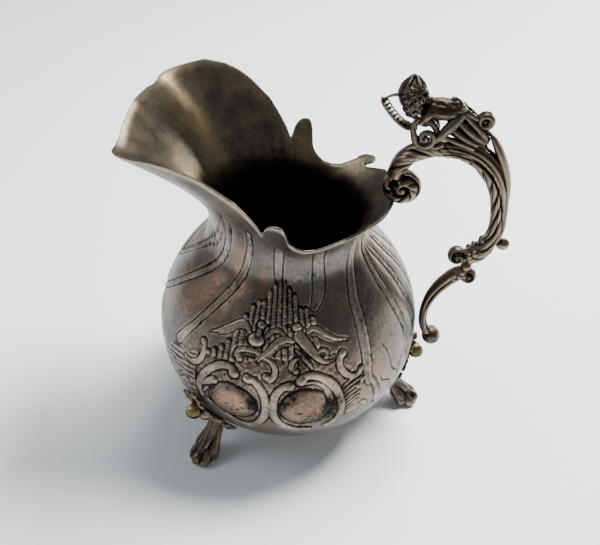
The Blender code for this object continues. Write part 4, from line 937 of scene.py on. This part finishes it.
def makeCurlTree():                            # spiral curls set on bare points, each turned its own way
    tree = bpy.data.node_groups.new("curlsOnPoints", "GeometryNodeTree")
    addSockets(tree, "INPUT", "Geometry", "Geometry")
    addSockets(tree, "INPUT", "Float", "Radius", "Eye Radius", "Turns", "Rise", "Tube Radius", "Size Spread",
               "Swing")
    addSockets(tree, "INPUT", "Int", "Seed")
    addSockets(tree, "INPUT", "Material", "Material")
    addSockets(tree, "OUTPUT", "Geometry", "Geometry")
    given = addNode(tree, "NodeGroupInput", (-900, 0))
    points = addNode(tree, "GeometryNodeMeshToPoints", (-600, 200))
    outward = addNode(tree, "GeometryNodeInputNamedAttribute", (-900, -300), data_type="FLOAT_VECTOR")
    outward.inputs["Name"].default_value = "outward"
    spiral = addNode(tree, "GeometryNodeCurveSpiral", (-600, 0), Resolution=14)
    section = addNode(tree, "GeometryNodeCurvePrimitiveCircle", (-600, -250), Resolution=7)
    rope = addNode(tree, "GeometryNodeCurveToMesh", (-350, 0), Fill_Caps=True)
    aimed = addNode(tree, "FunctionNodeAlignRotationToVector", (-600, -500), axis="Z")
    swing = addNode(tree, "FunctionNodeRandomValue", (-900, -600), data_type="FLOAT")
    spun = addNode(tree, "FunctionNodeAxisAngleToRotation", (-600, -700))
    turned = addNode(tree, "FunctionNodeRotateRotation", (-350, -500), rotation_space="LOCAL")
    size = addNode(tree, "FunctionNodeRandomValue", (-350, -750), data_type="FLOAT")
    least = addNode(tree, "ShaderNodeMath", (-600, -900), operation="SUBTRACT")
    most = addNode(tree, "ShaderNodeMath", (-600, -1000), operation="ADD")
    placed = addNode(tree, "GeometryNodeInstanceOnPoints", (-100, 0))
    real = addNode(tree, "GeometryNodeRealizeInstances", (100, 0))
    paint = addNode(tree, "GeometryNodeSetMaterial", (300, 0))
    out = addNode(tree, "NodeGroupOutput", (500, 0))
    least.inputs[0].default_value = most.inputs[0].default_value = 1
    for start, key, end, socket in (
            (given, "Radius", spiral, "Start Radius"), (given, "Eye Radius", spiral, "End Radius"),
            (given, "Turns", spiral, "Rotations"), (given, "Rise", spiral, "Height"),
            (given, "Tube Radius", section, "Radius"), (given, "Geometry", points, "Mesh"),
            (spiral, "Curve", rope, "Curve"), (section, "Curve", rope, "Profile Curve"),
            (outward, "Attribute", aimed, "Vector"), (given, "Swing", swing, 3),
            (given, "Seed", swing, "Seed"), (swing, 1, spun, "Angle"),
            (aimed, "Rotation", turned, "Rotation"), (spun, "Rotation", turned, "Rotate By"),
            (given, "Size Spread", least, 1), (least, 0, size, 2),
            (given, "Size Spread", most, 1), (most, 0, size, 3), (given, "Seed", size, "Seed"),
            (points, "Points", placed, "Points"), (rope, "Mesh", placed, "Instance"),
            (turned, "Rotation", placed, "Rotation"), (size, 1, placed, "Scale"),
            (placed, "Instances", real, "Geometry"), (real, "Geometry", paint, "Geometry"),
            (given, "Material", paint, "Material"), (paint, "Geometry", out, "Geometry")):
        tree.links.new(start.outputs[key], end.inputs[socket])
    return tree


curlTree = makeCurlTree()


def takeShape(carrier):                        # points and faces as its modifiers leave them
    shown = carrier.evaluated_get(bpy.context.evaluated_depsgraph_get())
    result = bpy.data.meshes.new_from_object(shown)
    place = readVectors(result, "co")
    polygons = [list(face.vertices) for face in result.polygons]
    mesh = carrier.data
    bpy.data.objects.remove(carrier, do_unlink=True)
    bpy.data.meshes.remove(mesh)
    bpy.data.meshes.remove(result)
    return place, polygons


def curls(spots, outward, **sizes):            # mesh of curls on the spots, facing outward
    mesh = bpy.data.meshes.new("spots")
    mesh.from_pydata(np.asarray(spots, float).tolist(), [], [])
    facing = mesh.attributes.new("outward", "FLOAT_VECTOR", "POINT")
    facing.data.foreach_set("vector", np.asarray(outward, np.float32).ravel())
    carrier = addObject("spots", mesh)
    maker = carrier.modifiers.new("curls", "NODES")
    maker.node_group = curlTree
    values = {"Eye Radius": .1, "Turns": 1.4, "Rise": .2, "Size Spread": .1, "Swing": 6.28, "Seed": 5,
              "Material": castSilver, **{key.replace("_", " "): value for key, value in sizes.items()}}
    for item in curlTree.interface.items_tree:
        if item.in_out == "INPUT" and item.name in values:
            maker[item.identifier] = values[item.name]
    carrier.update_tag()
    return takeShape(carrier)


def fused(balls, voxel, smoothing, solids=()):     # balls and solids melted into one casting
    points, faces = joined(ballsMesh(balls), *solids)
    mesh = bpy.data.meshes.new("melt")
    mesh.from_pydata(np.asarray(points).tolist(), [], faces)
    melt = addObject("melt", mesh)
    fuse = melt.modifiers.new("fuse", "REMESH")
    fuse.mode = "VOXEL"
    fuse.voxel_size = voxel
    soften = melt.modifiers.new("soften", "SMOOTH")
    soften.iterations = smoothing
    return takeShape(melt)


# handle: leafed upper scroll, smooth back leaf, bud and slender lower scroll
handle = {
    "rimVolute": (25.3, 70.1), "rimVoluteRadius": 4.2, "rimVoluteHalf": 2.4,
    "midVolute": (39.4, 52.4), "midVoluteRadius": 2.2, "midVoluteHalf": 2.0,
    "arch": [(-2.0, 2.7, 1.75), (-0.8, 6.0, 1.85), (1.9, 8.7, 1.9), (5.7, 10.0, 1.9), (10.2, 10.1, 2.0),
             (14.3, 8.6, 2.1), (17.4, 5.6, 2.1), (19.5, 1.6, 1.8), (20.4, -2.1, 1.55), (20.9, -6.1, 1.4),
             (21.0, -9.6, 1.45), (20.5, -12.8, 1.7), (19.0, -15.8, 2.0), (16.6, -17.8, 1.9)],
    "flatness": 1.15, "leafGrooves": 9.0, "leafStrokes": 14.0, "grooveDepth": 0.46, "backSwell": 0.85,
    "partingAt": (.30, .45, .60, .72, .82, .92), "partingAngle": (1.9, 1.6, 1.3, .95, .6, .4),
    "lower": [(41.6, 47.9, 1.5), (39.3, 46.2, 1.7), (37.0, 43.3, 1.6), (35.3, 40.2, 1.4), (34.3, 37.1, 1.2),
              (33.8, 34.4, 1.05), (33.75, 31.4, 1.0), (34.3, 29.0, 1.1), (35.5, 26.9, 1.3)],
    "budNeck": [(44.4, 0, 57.4, 1.15), (45.5, 0, 57.7, .975), (46.6, 0, 58.0, .8)],
    "seat": (41.8, 0, 49.3, 1.35), "crestBeads": [(40.4, 1.3, 47.2, .75), (39.3, 1.4, 46.3, .6)],
    "rimPits": [(2.7, .55, .2), (3.5, .72, .14), (1.7, .75, .12)],           # angle, share, size
    "archBeads": [(.06, .6), (.955, .75), (.985, .7)],                       # share of the way, radius
    "backLeaf": [(41.4, 84.5, .2), (42.5, 82.9, .65), (43.9, 80.5, .95), (45.2, 77.8, 1.0), (46.3, 75.0, .95),
                 (47.1, 72.0, .8), (47.6, 69.4, .5), (47.75, 67.9, .15)],
    "lowerEnd": (36.5, 26.0), "lowerEndRadius": 2.3, "lowerCrest": (42.6, 46.8), "lowerCrestRadius": 2.0,
}
archRows = np.array(handle["arch"]) + (*handle["rimVolute"], 0)


def carvedLeaf(share, angle):
    # a deep groove crosses each side slowly towards the back: long flutes outside it, leaf strokes inside
    parting = np.interp(share, handle["partingAt"], handle["partingAngle"])
    ends = smoothStep(0, .05, share) * smoothStep(1, .93, share)
    later = smoothStep(.22, .34, share) * smoothStep(.97, .86, share)
    outside = smoothStep(.06, -.06, angle - parting)
    flutes = .13 * (np.cos(angle * 2 * math.pi / .42) - .6)
    phase = share * handle["leafStrokes"] - (angle - parting) * 1.15 + .12 * np.sin(angle * 3)
    strokes = np.abs(np.sin(phase * math.pi)) ** .5
    leaf = handle["grooveDepth"] * (strokes - .75) * smoothStep(math.pi, math.pi - .5, angle)
    groove = -.42 * bell(angle - parting, .13)
    curly = share * handle["leafGrooves"] - angle / math.pi * 1.3
    early = .42 * (np.abs(np.sin(curly * math.pi)) ** .55 - .72) + .1 * np.abs(np.sin(curly * math.pi * 3))
    early = early * smoothStep(.3, .7, angle)
    back = handle["backSwell"] * smoothStep(.30, .42, share) * smoothStep(.90, .78, share) * \
        np.clip(np.cos(angle), 0, 1)
    return ends * ((1 - later) * early + later * (outside * flutes + (1 - outside) * leaf + groove)) + back


def makeHandle():
    path = smoothRows(archRows, 200)
    arch = sweep(archRows, 230, 64, handle["flatness"], carvedLeaf)
    rim = volute(handle["rimVolute"], handle["rimVoluteRadius"], handle["rimVoluteHalf"], 1.6, 2.4, 1, .6, 4,
                 handle["rimPits"])
    middle = volute(handle["midVolute"], handle["midVoluteRadius"], handle["midVoluteHalf"], 1.3, 1.0, 1, .45)
    beads = []
    for share, size in handle["archBeads"]:
        at = int(share * (len(path) - 1))
        x, z, radius = path[at]
        tangent = unit(path[min(len(path) - 1, at + 2), :2] - path[at - 2, :2])
        beads += [(x + tangent[1] * radius * .62, side * radius * .95, z - tangent[0] * radius * .62, size)
                  for side in (-1, 1)]
    neck = ballsMesh(chain(handle["budNeck"]))
    castPiece("leafed_upper_scroll", joined(arch, rim, middle, neck, ballsMesh(beads)), "handle_upper_scroll")

    lower = sweep(handle["lower"], 130, 44, 1.12,
                  lambda share, angle: .20 * bell(angle - 1.15, .22)
                  - .22 * bell(angle - .75, .2) * smoothStep(.02, .2, share)
                  - .20 * bell(angle - 1.6, .2) * smoothStep(.7, .5, share))
    crest = volute(handle["lowerCrest"], handle["lowerCrestRadius"], 1.9, 1.2, 2.8, -1, .5)
    end = volute(handle["lowerEnd"], handle["lowerEndRadius"], 2.3, 1.0, 1.4, 1, .12)
    beads = ballsMesh([handle["seat"]] + [bead for side in (-1, 1)
                                          for bead in mirrored(handle["crestBeads"], side)])
    castPiece("slender_lower_scroll", joined(lower, crest, end, beads), "handle_lower_scroll")

    low, high = (np.array(corner) / mm - (bellyAxis, 0, 0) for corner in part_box("handle_bud"))
    size = (high - low) / 2
    rings, sectors = 22, 40
    polar = np.linspace(0, math.pi, rings)[1:-1, None]
    turn = np.linspace(0, 2 * math.pi, sectors, endpoint=False)[None]
    petal = 1 + .08 * np.cos(turn * 5) * np.sin(polar) - .12 * bell(polar - 1.25, .1)
    points = np.stack([-np.cos(polar) * size[0] * np.ones_like(turn),
                       np.sin(polar) * np.sin(turn) * size[1] * petal,
                       np.sin(polar) * np.cos(turn) * size[2] * petal], -1).reshape(-1, 3)
    points = np.vstack([points, [[-size[0], 0, 0], [size[0], 0, 0]]]) + (low + high) / 2
    castPiece("bud", (points, closedFaces(rings - 2, sectors, -1)), "handle_bud")

    # smooth leaf on the back of the arch, its tip lifted towards the heels
    leaf = sweep(handle["backLeaf"], 100, 40, 2.0, lambda share, angle: -.07 * bell(angle, .5))
    castPiece("smooth_back_leaf", leaf, "handle_back_leaf")


makeHandle()
print("handle is made")


# reclining putto with its crest, scrolls and heel ring
putto = {
    "head": (25.7, -.3, 91.3), "headRadius": 3.1, "faceTurn": (0.66, -0.50, -0.56),
    "crown": (-0.35, 0.1, 0.93),
    # skull and jaw, cheeks, chin, nose, lips, brows and eyes: right, up, front and radius in head radii,
    # and each that is off the middle has its like on the left
    "face": [(0, .05, -.1, .80), (0, 0, .12, .70), (0, -.30, .30, .48), (.30, -.22, .48, .24),
             (0, -.58, .55, .17), (0, -.02, .80, .07), (0, -.10, .85, .085), (0, -.17, .88, .10),
             (.09, -.18, .80, .07), (0, -.36, .74, .075), (0, -.44, .72, .085), (.1, -.38, .71, .065),
             (.14, .13, .70, .085), (.24, .13, .67, .085), (.34, .13, .60, .085), (.25, 0, .60, .11)],
    "curlRing": ((1, 0.0), (6, 0.55), (8, 1.1), (8, 1.65), (6, 2.1)),        # count, angle from the crown
    "curl": {"Radius": .92, "Tube_Radius": .36, "Turns": 1.2, "Rise": .2},
    # hair drawn up and back to a point: places with radius; large curls: place and outward direction
    "peak": [(25.2, -.2, 91.3, 2.75), (25.3, .7, 92.5, 2.15), (25.35, 1.6, 93.5, 1.35),
             (25.3, 2.3, 94.15, .7)],
    "strands": [[(22.6, -1.2, 91.8, .4), (23.4, -.4, 93.2, .42), (24.5, 1.0, 94.3, .36),
                 (25.3, 2.2, 94.7, .25)],
                [(24.0, -2.3, 92.9, .4), (24.4, -1.0, 94.2, .38), (25.1, 1.2, 94.9, .3)],
                [(26.4, -1.9, 93.4, .42), (26.2, -.6, 94.4, .38), (25.7, 1.4, 94.9, .28)],
                [(27.8, -.6, 92.6, .42), (27.3, .6, 93.7, .38), (26.2, 2.0, 94.5, .28)],
                [(22.7, .6, 91.8, .4), (23.3, 1.6, 93.0, .38), (24.7, 2.5, 94.2, .28)],
                [(25.0, 3.0, 91.6, .45), (25.1, 3.1, 93.0, .38), (25.3, 2.7, 94.2, .25)]],
    "bigCurls": [((24.9, -2.55, 93.2), (-.1, -.75, .65)), ((24.0, -3.0, 91.9), (-.45, -.85, .2)),
                 ((24.5, -3.3, 90.4), (-.3, -.95, -.1)), ((25.2, -3.0, 89.1), (-.1, -.85, -.5))],
    "bigCurl": {"Radius": 1.0, "Tube_Radius": .34, "Turns": 1.7, "Rise": .5, "Swing": .6, "Seed": 3},
    "nape": [(24.4, -2.5, 90.1), (24.9, -2.6, 89.2), (25.7, -2.2, 88.6), (24.6, 2.5, 90.1),
             (25.2, 2.5, 89.1)],
    "trunk": [[(28.6, 0, 90.4, 1.05), (29.4, 0, 89.9, 1.25)],                                # neck
              [(28.4, 0, 88.6, 1.5), (29.3, 0, 89.2, 1.8), (30.8, 0, 89.4, 1.9), (32.4, 0, 89.3, 1.85),
               (34.0, 0, 89.4, 1.85)],
              [(28.2, -.9, 88.3, 1.35), (29.6, -1.0, 88.9, 1.6), (31.4, -1.1, 88.8, 1.75),
               (33.4, -1.0, 88.8, 1.7)],
              [(28.2, .9, 88.3, 1.35), (29.6, 1.0, 88.9, 1.6), (31.4, 1.1, 88.8, 1.75),
               (33.4, 1.0, 88.8, 1.7)],
              [(33.5, .2, 90.9, .75), (34.2, .2, 90.6, .7)],                                 # hip
              [(29.6, -1.1, 89.6, 1.05), (29.6, 1.1, 89.6, 1.05)],                           # shoulders
              [(34.3, -.8, 89.4, 1.35), (35.0, -.8, 89.2, 1.3)],
              [(34.3, .8, 89.4, 1.35), (35.2, .8, 89.1, 1.3)]],
    "legs": [[(35.0, -1.4, 88.5, 1.2), (33.9, -2.0, 87.0, 1.2), (32.6, -2.2, 85.3, 1.1),
              (31.5, -2.3, 83.9, .85), (30.9, -2.3, 83.1, .55)],                             # near thigh
             [(35.3, .6, 88.8, 1.2), (36.6, .6, 88.3, 1.05), (37.8, .4, 87.6, .85), (38.9, .2, 87.1, .6)]],
    "strap": [(35.6, -.8, 88.9, 1.0), (36.8, -.8, 88.4, .75), (38.2, -.6, 87.5, .6)],
    "arm": [(29.4, 1.6, 88.9, 1.05), (28.6, 2.0, 88.1, .95), (28.0, 2.1, 87.4, .8), (27.5, 2.2, 86.8, .7)],
    "fingers": 3, "fingerSpacing": .28,
    "sash": [(32.0, -1.2, 90.7, .35), (33.2, -1.6, 90.0, .4), (34.6, -1.9, 89.6, .4),
             (35.9, -1.6, 89.9, .35)],
    # C-scroll round its eye: side, height and size, where the far one is smaller and higher
    "scrollEye": 28.7, "scrolls": {"near": (-1, 83.7, 1), "far": (1, 84.6, .5)},
    "scrollLead": [(26.9, 2.2, 87.4, .42), (26.1, 2.5, 86.6, .55), (25.9, 2.6, 85.6, .6)],
    "scrollInner": [(26.8, 1.6, 86.9, .6), (28.6, 1.6, 87.0, .8), (30.2, 1.6, 85.9, .75),
                    (31.0, 1.7, 84.1, .65), (31.0, 1.8, 82.4, .55)],
    "scrollFoot": [(29.2, 2.5, 81.9, .5), (30.8, 2.2, 81.4, .6), (32.2, 2.1, 81.9, .5)],
    "crest": [(26.6, 0, 84.6, .4), (25.2, 0, 84.5, .4), (23.9, 0, 85.0, .38), (22.5, 0, 86.1, .36),
              (21.3, 0, 87.4, .35), (20.2, 0, 88.9, .34), (19.35, 0, 90.1, .25)],
    "crestTip": [(19.4, 0, 90.1, .26), (21.3, 0, 91.1, .32), (22.8, 0, 91.5, .4)],
    "crestMiddle": (25.8, 91.0), "crestLoops": 8,
    "crestLoop": {"Radius": .52, "Eye_Radius": .46, "Turns": 1.0, "Rise": .1, "Tube_Radius": .19,
                  "Size_Spread": .03},
    "folds": [[(36.0, 1.2, 88.3, .5), (38.0, 1.45, 86.5, .6), (39.6, 1.4, 84.9, .6), (40.7, 1.0, 83.5, .5)],
              [(35.0, 1.3, 87.0, .75), (36.8, 1.65, 85.5, .85), (38.6, 1.6, 84.1, .8), (40.2, 1.2, 82.8, .6)],
              [(33.8, 1.4, 85.5, .65), (35.4, 1.85, 84.4, .75), (37.2, 1.85, 83.3, .7),
               (39.0, 1.6, 82.2, .5)],
              [(32.5, 1.5, 83.5, .5), (34.6, 2.0, 82.9, .6), (36.8, 2.05, 82.2, .55),
               (38.4, 1.9, 81.4, .45)]],
    "foldFill": [[(34.6, 0, 86.4, 1.2), (36.6, 0, 85.6, 1.35), (38.6, 0, 84.1, 1.3), (40.4, 0, 82.3, 1.1)],
                 [(33.8, 0, 84.3, 1.0), (36.0, 0, 83.3, 1.2), (38.4, 0, 82.2, 1.2), (40.6, 0, 81.0, 1.0)]],
    "heelRing": (40.2, 86.9), "heelEye": (40.15, .1, 86.85, .85),
    "heelStem": [(40.7, 0, 85.9, .6), (40.8, 0, 85.2, .45), (40.9, 0, 84.6, .4)],
    "heelBead": [(40.95, -.2, 83.9, .6), (40.95, -.2, 82.9, .85), (40.9, -.2, 82.5, .8)],
}


def makeHead():
    centre, size = np.array(putto["head"]), putto["headRadius"]
    front, up = unit(np.array(putto["faceTurn"])), np.array(putto["crown"])
    up = unit(up - front * (up @ front))
    right = np.cross(up, front)
    place = np.stack([right, up, front])
    balls = [(*(centre + np.array([side * x, y, z]) * size @ place), radius * size)
             for x, y, z, radius in putto["face"] for side in ((-1, 1) if x else (1,))]
    back = unit(-front * .35 + up * .94)
    across = np.cross(back, right)
    spots, outward = [], []
    for count, polar in putto["curlRing"]:
        for k in range(count):
            turn = 2 * math.pi * (k + .5 * (polar > .5)) / count + polar
            level = right * math.cos(turn) + across * math.sin(turn)
            normal = back * math.cos(polar) + math.sin(polar) * level
            if normal @ front < .50 or normal @ up > .72:
                spots.append(centre + normal * size * .80)
                outward.append(normal)
    spots += [np.array(place) for place in putto["nape"]]
    outward += [np.array(place) - centre for place in putto["nape"]]
    hair = curls(spots, outward, **putto["curl"])
    large = curls(*zip(*putto["bigCurls"]), **putto["bigCurl"])
    balls += putto["peak"] + ropes(*putto["strands"])
    castPiece("curly_head", fused(balls, .12, 1, [hair, large]), "putto_head", depth=.11)


def makeBody():
    balls = ropes(*putto["trunk"], *putto["legs"], putto["strap"])
    for side in (-1, 1):
        balls += ropes(mirrored(putto["arm"], side))
        for k in range(putto["fingers"]):
            y = side * (2.1 + k * putto["fingerSpacing"])
            balls += ropes([(27.7, y, 86.9, .3), (27.0 - k * .1, y, 86.4, .22)])
    balls += ropes(putto["sash"])
    castPiece("reclining_body", fused(balls, .15, 3), "putto_body")


def makeFigureTrim():
    # C-scrolls that straddle the arch, each curled round an eye, with a dark inner curve
    middle = putto["scrollEye"]
    for label, (side, level, small) in putto["scrolls"].items():
        t = np.linspace(0, 1, 60)
        angle = np.radians(100 + 560 * t)
        reach = (2.4 * (1 - t) ** .75 + .12) * small
        path = np.column_stack([middle + reach * np.cos(angle), side * (2.6 + .35 * t),
                                level + reach * np.sin(angle), (.78 - .3 * t) * (.5 + .5 * small)])[8:]
        balls = chain(path, .25) + ropes([*mirrored(putto["scrollLead"], side), tuple(path[0])], spacing=.25)
        balls += [(middle, side * 2.7, level, .62)] + ropes(mirrored(putto["scrollInner"], side))
        balls += chain(mirrored(putto["scrollFoot"], side))
        castPiece(f"c_scroll_{label}", fused(balls, .13, 1), f"figure_scroll_{label}")
    # crest: a thin curved band with a row of open loops inside it
    rim = bent(putto["crest"], 60)
    balls = [ball for width in np.linspace(-.95, .95, 8) for ball in chain(rim + (0, width, 0, 0), .35)]
    balls += chain(putto["crestTip"])
    loops = []
    for share in np.linspace(.22, .93, putto["crestLoops"]):
        x, _, z, _ = rim[int(share * (len(rim) - 1))]
        inward = unit(np.array(putto["crestMiddle"]) - (x, z)) * .72
        loops.append((x + inward[0], -.3, z + inward[1]))
    ring = curls(loops, [(0, -1, 0)] * len(loops), **putto["crestLoop"])
    castPiece("looped_crest", fused(balls, .12, 1, [ring]), "figure_crest")
    # drapery that carries the hips on the arch
    balls = ropes(*(mirrored(fold, side) for side in (-1, 1) for fold in putto["folds"]))
    for rows in putto["foldFill"]:
        balls += chain(rows)
    castPiece("drapery", fused(balls, .14, 2), "figure_drape")
    # hooded ring under the heels and the bead below it
    t = np.linspace(0, 1, 70)
    angle = np.radians(-60 + 420 * t)
    reach = 1.25 - .35 * np.clip(t * 3 - 2, 0, 1)
    x, z = putto["heelRing"]
    ring = np.column_stack([x + reach * np.cos(angle), 0 * t, z + reach * np.sin(angle), .62 + 0 * t])
    balls = [ball for width in (-.55, 0, .55) for ball in chain(ring + (0, width, 0, 0))]
    balls += [putto["heelEye"]] + ropes(putto["heelStem"])
    castPiece("heel_ring", fused(balls, .13, 1), "heel_scroll")
    castPiece("small_bead", fused(putto["heelBead"], .09, 1), "heel_bead")


makeHead()
makeBody()
makeFigureTrim()
print("putto is made")


# feet: lobed paw on an S-curved leg, leafy bracket and brass bead
foot = {
    "azimuths": {"handle": 0.0, "far": 124.5, "near": -124.5},
    "leg": [(26.2, 12.0, 1.9), (26.8, 10.4, 2.0), (28.0, 8.3, 2.0), (29.6, 5.9, 1.95), (31.2, 3.8, 1.95),
            (32.6, 2.5, 1.6)],
    "toes": [(0.0, 33.9, 1.75, 1.6), (-1.9, 33.1, 1.6, 1.5), (1.9, 33.1, 1.6, 1.5)],
    "bracket": {"spread": 16.0, "low": 13.2, "high": 18.2, "tip": 15.3, "thickness": 1.0},
    "curl": {"Radius": .95, "Tube_Radius": .36, "Turns": 1.3, "Rise": .3, "Size_Spread": .2},
    # curls on the bracket: degrees from its middle, height on the belly
    "curlSpots": [(-14.5, 15.3), (-11, 16.0), (-8, 14.6), (-6.5, 17.0), (-3.5, 15.2), (0, 14.0), (3.5, 15.2),
                  (6.5, 17.0), (8, 14.6), (11, 16.0), (14.5, 15.3), (-3.0, 24.3), (0, 24.9), (2.6, 24.0),
                  (-13.5, 17.6), (-10, 18.6), (-7, 19.4), (-4.2, 19.6), (4.2, 19.6), (7, 19.4), (10, 18.6),
                  (13.5, 17.6), (-4.5, 17.2), (4.5, 17.2), (-2.6, 21.8), (2.6, 21.8), (-12.6, 14.8),
                  (12.6, 14.8)],
    "boss": (16.6, 1.1, 1.9),                                  # height on the belly, out from it, radius
    # along the leg: ridge down the shin, web beside it and flange
    "side": [[(26.8, .8, 11.0, .4), (28.4, .9, 9.0, .42), (30.2, 1.0, 6.9, .42), (31.9, 1.1, 5.0, .5)],
             [(26.4, .9, 10.4, 1.1), (27.7, 1.2, 7.8, 1.2), (29.2, 1.7, 5.4, 1.35), (30.4, 2.1, 3.6, 1.6),
              (31.0, 2.2, 2.2, 1.7)],
             [(26.4, 2.0, 9.4, .35), (27.9, 2.3, 7.0, .35), (29.6, 2.95, 4.6, .4), (30.8, 3.6, 2.6, .45)]],
    "heel": [(28.6, 0, 3.6, 1.0), (29.3, 0, 2.0, 1.2), (31.4, 0, 1.4, 1.4)],
    "beadRadius": 2.0,
}


def turned(points, azimuth):
    c, s = cosSin(azimuth)
    points = np.array(points)
    x, y = points[:, 0].copy(), points[:, 1].copy()
    points[:, 0], points[:, 1] = x * c - y * s, x * s + y * c
    return points


def makeLegs():
    balls = ropes([(x, 0, z, radius) for x, z, radius in foot["leg"]])
    balls += ropes(*(mirrored(rows, side) for side in (-1, 1) for rows in foot["side"]))
    for y, x, z, radius in foot["toes"]:
        balls += ropes([(30.4, y * .6, 4.2, 1.1), (31.8, y * .85, 3.2, 1.3), (x, y, z, radius),
                        (x + .9, y * 1.04, z - .45, radius * .68)],
                       [(x + 1.2, y * 1.05, z + .3, .4), (x + 1.75, y * 1.07, z - .6, .3)])
    points, faces = fused(balls + ropes(foot["heel"]), .2, 2)
    points[:, 2] = np.maximum(points[:, 2], 0)
    for label, azimuth in foot["azimuths"].items():
        castPiece(f"paw_leg_{label}", (turned(points, azimuth), faces), f"foot_leg_{label}")


def makeBrackets():
    form = foot["bracket"]
    columns, rows = 120, 44
    u = np.linspace(-1, 1, columns)[None]
    v = np.linspace(0, 1, rows)[:, None]
    taper = np.abs(u) ** 1.3
    scallop = .35 * np.abs(np.sin(u * math.pi * 3.5)) - .2
    low = form["low"] + (form["tip"] - 1.3 - form["low"]) * taper - scallop * .8
    high = form["high"] + (form["tip"] + 1.3 - form["high"]) * taper + scallop
    height = low + (high - low) * v
    slope = np.gradient(profileFine[:, 0], profileFine[:, 1])
    radius = np.interp(height, profileFine[:, 1], profileFine[:, 0])
    lean = np.interp(height, profileFine[:, 1], slope)
    out = np.stack([1 / np.hypot(1, lean), -lean / np.hypot(1, lean)], -1)
    vein = np.abs(np.sin((v - .5) * 5 + np.abs(u) * 9)) ** .6
    rim = smoothStep(0, .12, v) * smoothStep(1, .88, v) * smoothStep(1, .93, np.abs(u))
    swell = spot(np.abs(u) - .80, .10, v - .5, .3)
    thick = form["thickness"] * (.35 + .65 * rim * (.62 + .38 * vein)) + .45 * swell
    angle = np.radians(form["spread"] * u) * np.ones_like(v)

    def laid(depth):
        r = radius + out[..., 0] * depth
        return np.stack([r * np.cos(angle), r * np.sin(angle), height + out[..., 1] * depth], -1)

    plate = np.stack([laid(.35), laid(.35 + thick)]).reshape(-1, 3)
    inner, outer = np.arange(2 * rows * columns).reshape(2, rows, columns)
    faces = []
    for grid, step in ((inner, -1), (outer, 1)):
        quads = np.stack([grid[:-1, :-1], grid[:-1, 1:], grid[1:, 1:], grid[1:, :-1]], -1)
        faces += [face[::step] for face in quads.reshape(-1, 4).tolist()]
    for a, b in ((inner[0], outer[0]), (outer[-1], inner[-1]), (outer[:, 0], inner[:, 0]),
                 (inner[:, -1], outer[:, -1])):
        faces += np.stack([a[:-1], a[1:], b[1:], b[:-1]], -1).tolist()

    def onBelly(degrees, level, depth):                        # place and outward direction
        r, lean = (np.interp(level, profileFine[:, 1], values) for values in (profileFine[:, 0], slope))
        away = np.array([1, -lean]) / math.hypot(1, lean)
        r, level = np.array([r, level]) + away * depth
        c, s = cosSin(degrees)
        return (r * c, r * s, level), (away[0] * c, away[0] * s, away[1])

    spots, outward = zip(*(onBelly(degrees, level, .9) for degrees, level in foot["curlSpots"]))
    level, depth, size = foot["boss"]
    boss = ballsMesh([(*onBelly(0, level, depth)[0], size)])
    points, faces = joined((plate, faces), curls(spots, outward, **foot["curl"]), boss)
    for label, azimuth in foot["azimuths"].items():
        shape = turned(points, azimuth), faces
        castPiece(f"leaf_bracket_{label}", shape, f"foot_bracket_{label}", depth=.2)


def makeBeads():
    rings, sectors, radius = 40, 60, foot["beadRadius"]
    polar = np.linspace(0, math.pi, rings)[1:-1, None]
    turn = np.linspace(0, 2 * math.pi, sectors, endpoint=False)[None]
    size = radius * (1 - .03 * np.sin(turn * 3) * np.sin(polar) - .025 * bell(polar - 1.1, .09))
    points = np.stack([np.sin(polar) * np.cos(turn) * size, np.sin(polar) * np.sin(turn) * size,
                       np.cos(polar) * size], -1).reshape(-1, 3)
    points = np.vstack([points, [[0, 0, radius], [0, 0, -radius]]])
    dome = points[:, 2] / radius
    # painted shade on the lower half of the bead and a painted highlight on its top
    fields = {"patinaAndShade": .85 * smoothStep(.25, -.25, dome) * smoothStep(-1.4, -.5, dome),
              "wearAndHighlight": .8 * smoothStep(.35, .95, dome)}
    faces = closedFaces(rings - 2, sectors, -1)
    for label in foot["azimuths"]:
        low, high = (np.array(corner) / mm - (bellyAxis, 0, 0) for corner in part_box(f"foot_bead_{label}"))
        newPiece(f"brass_bead_{label}", points + (low + high) / 2, faces, "gilt_bead", [f"foot_bead_{label}"],
                 [brassWithPaintedLight], fields=fields)


makeLegs()
makeBrackets()
makeBeads()
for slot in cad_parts["base_plate"].material_slots:
    slot.material = sheetSilver
print("feet are made")
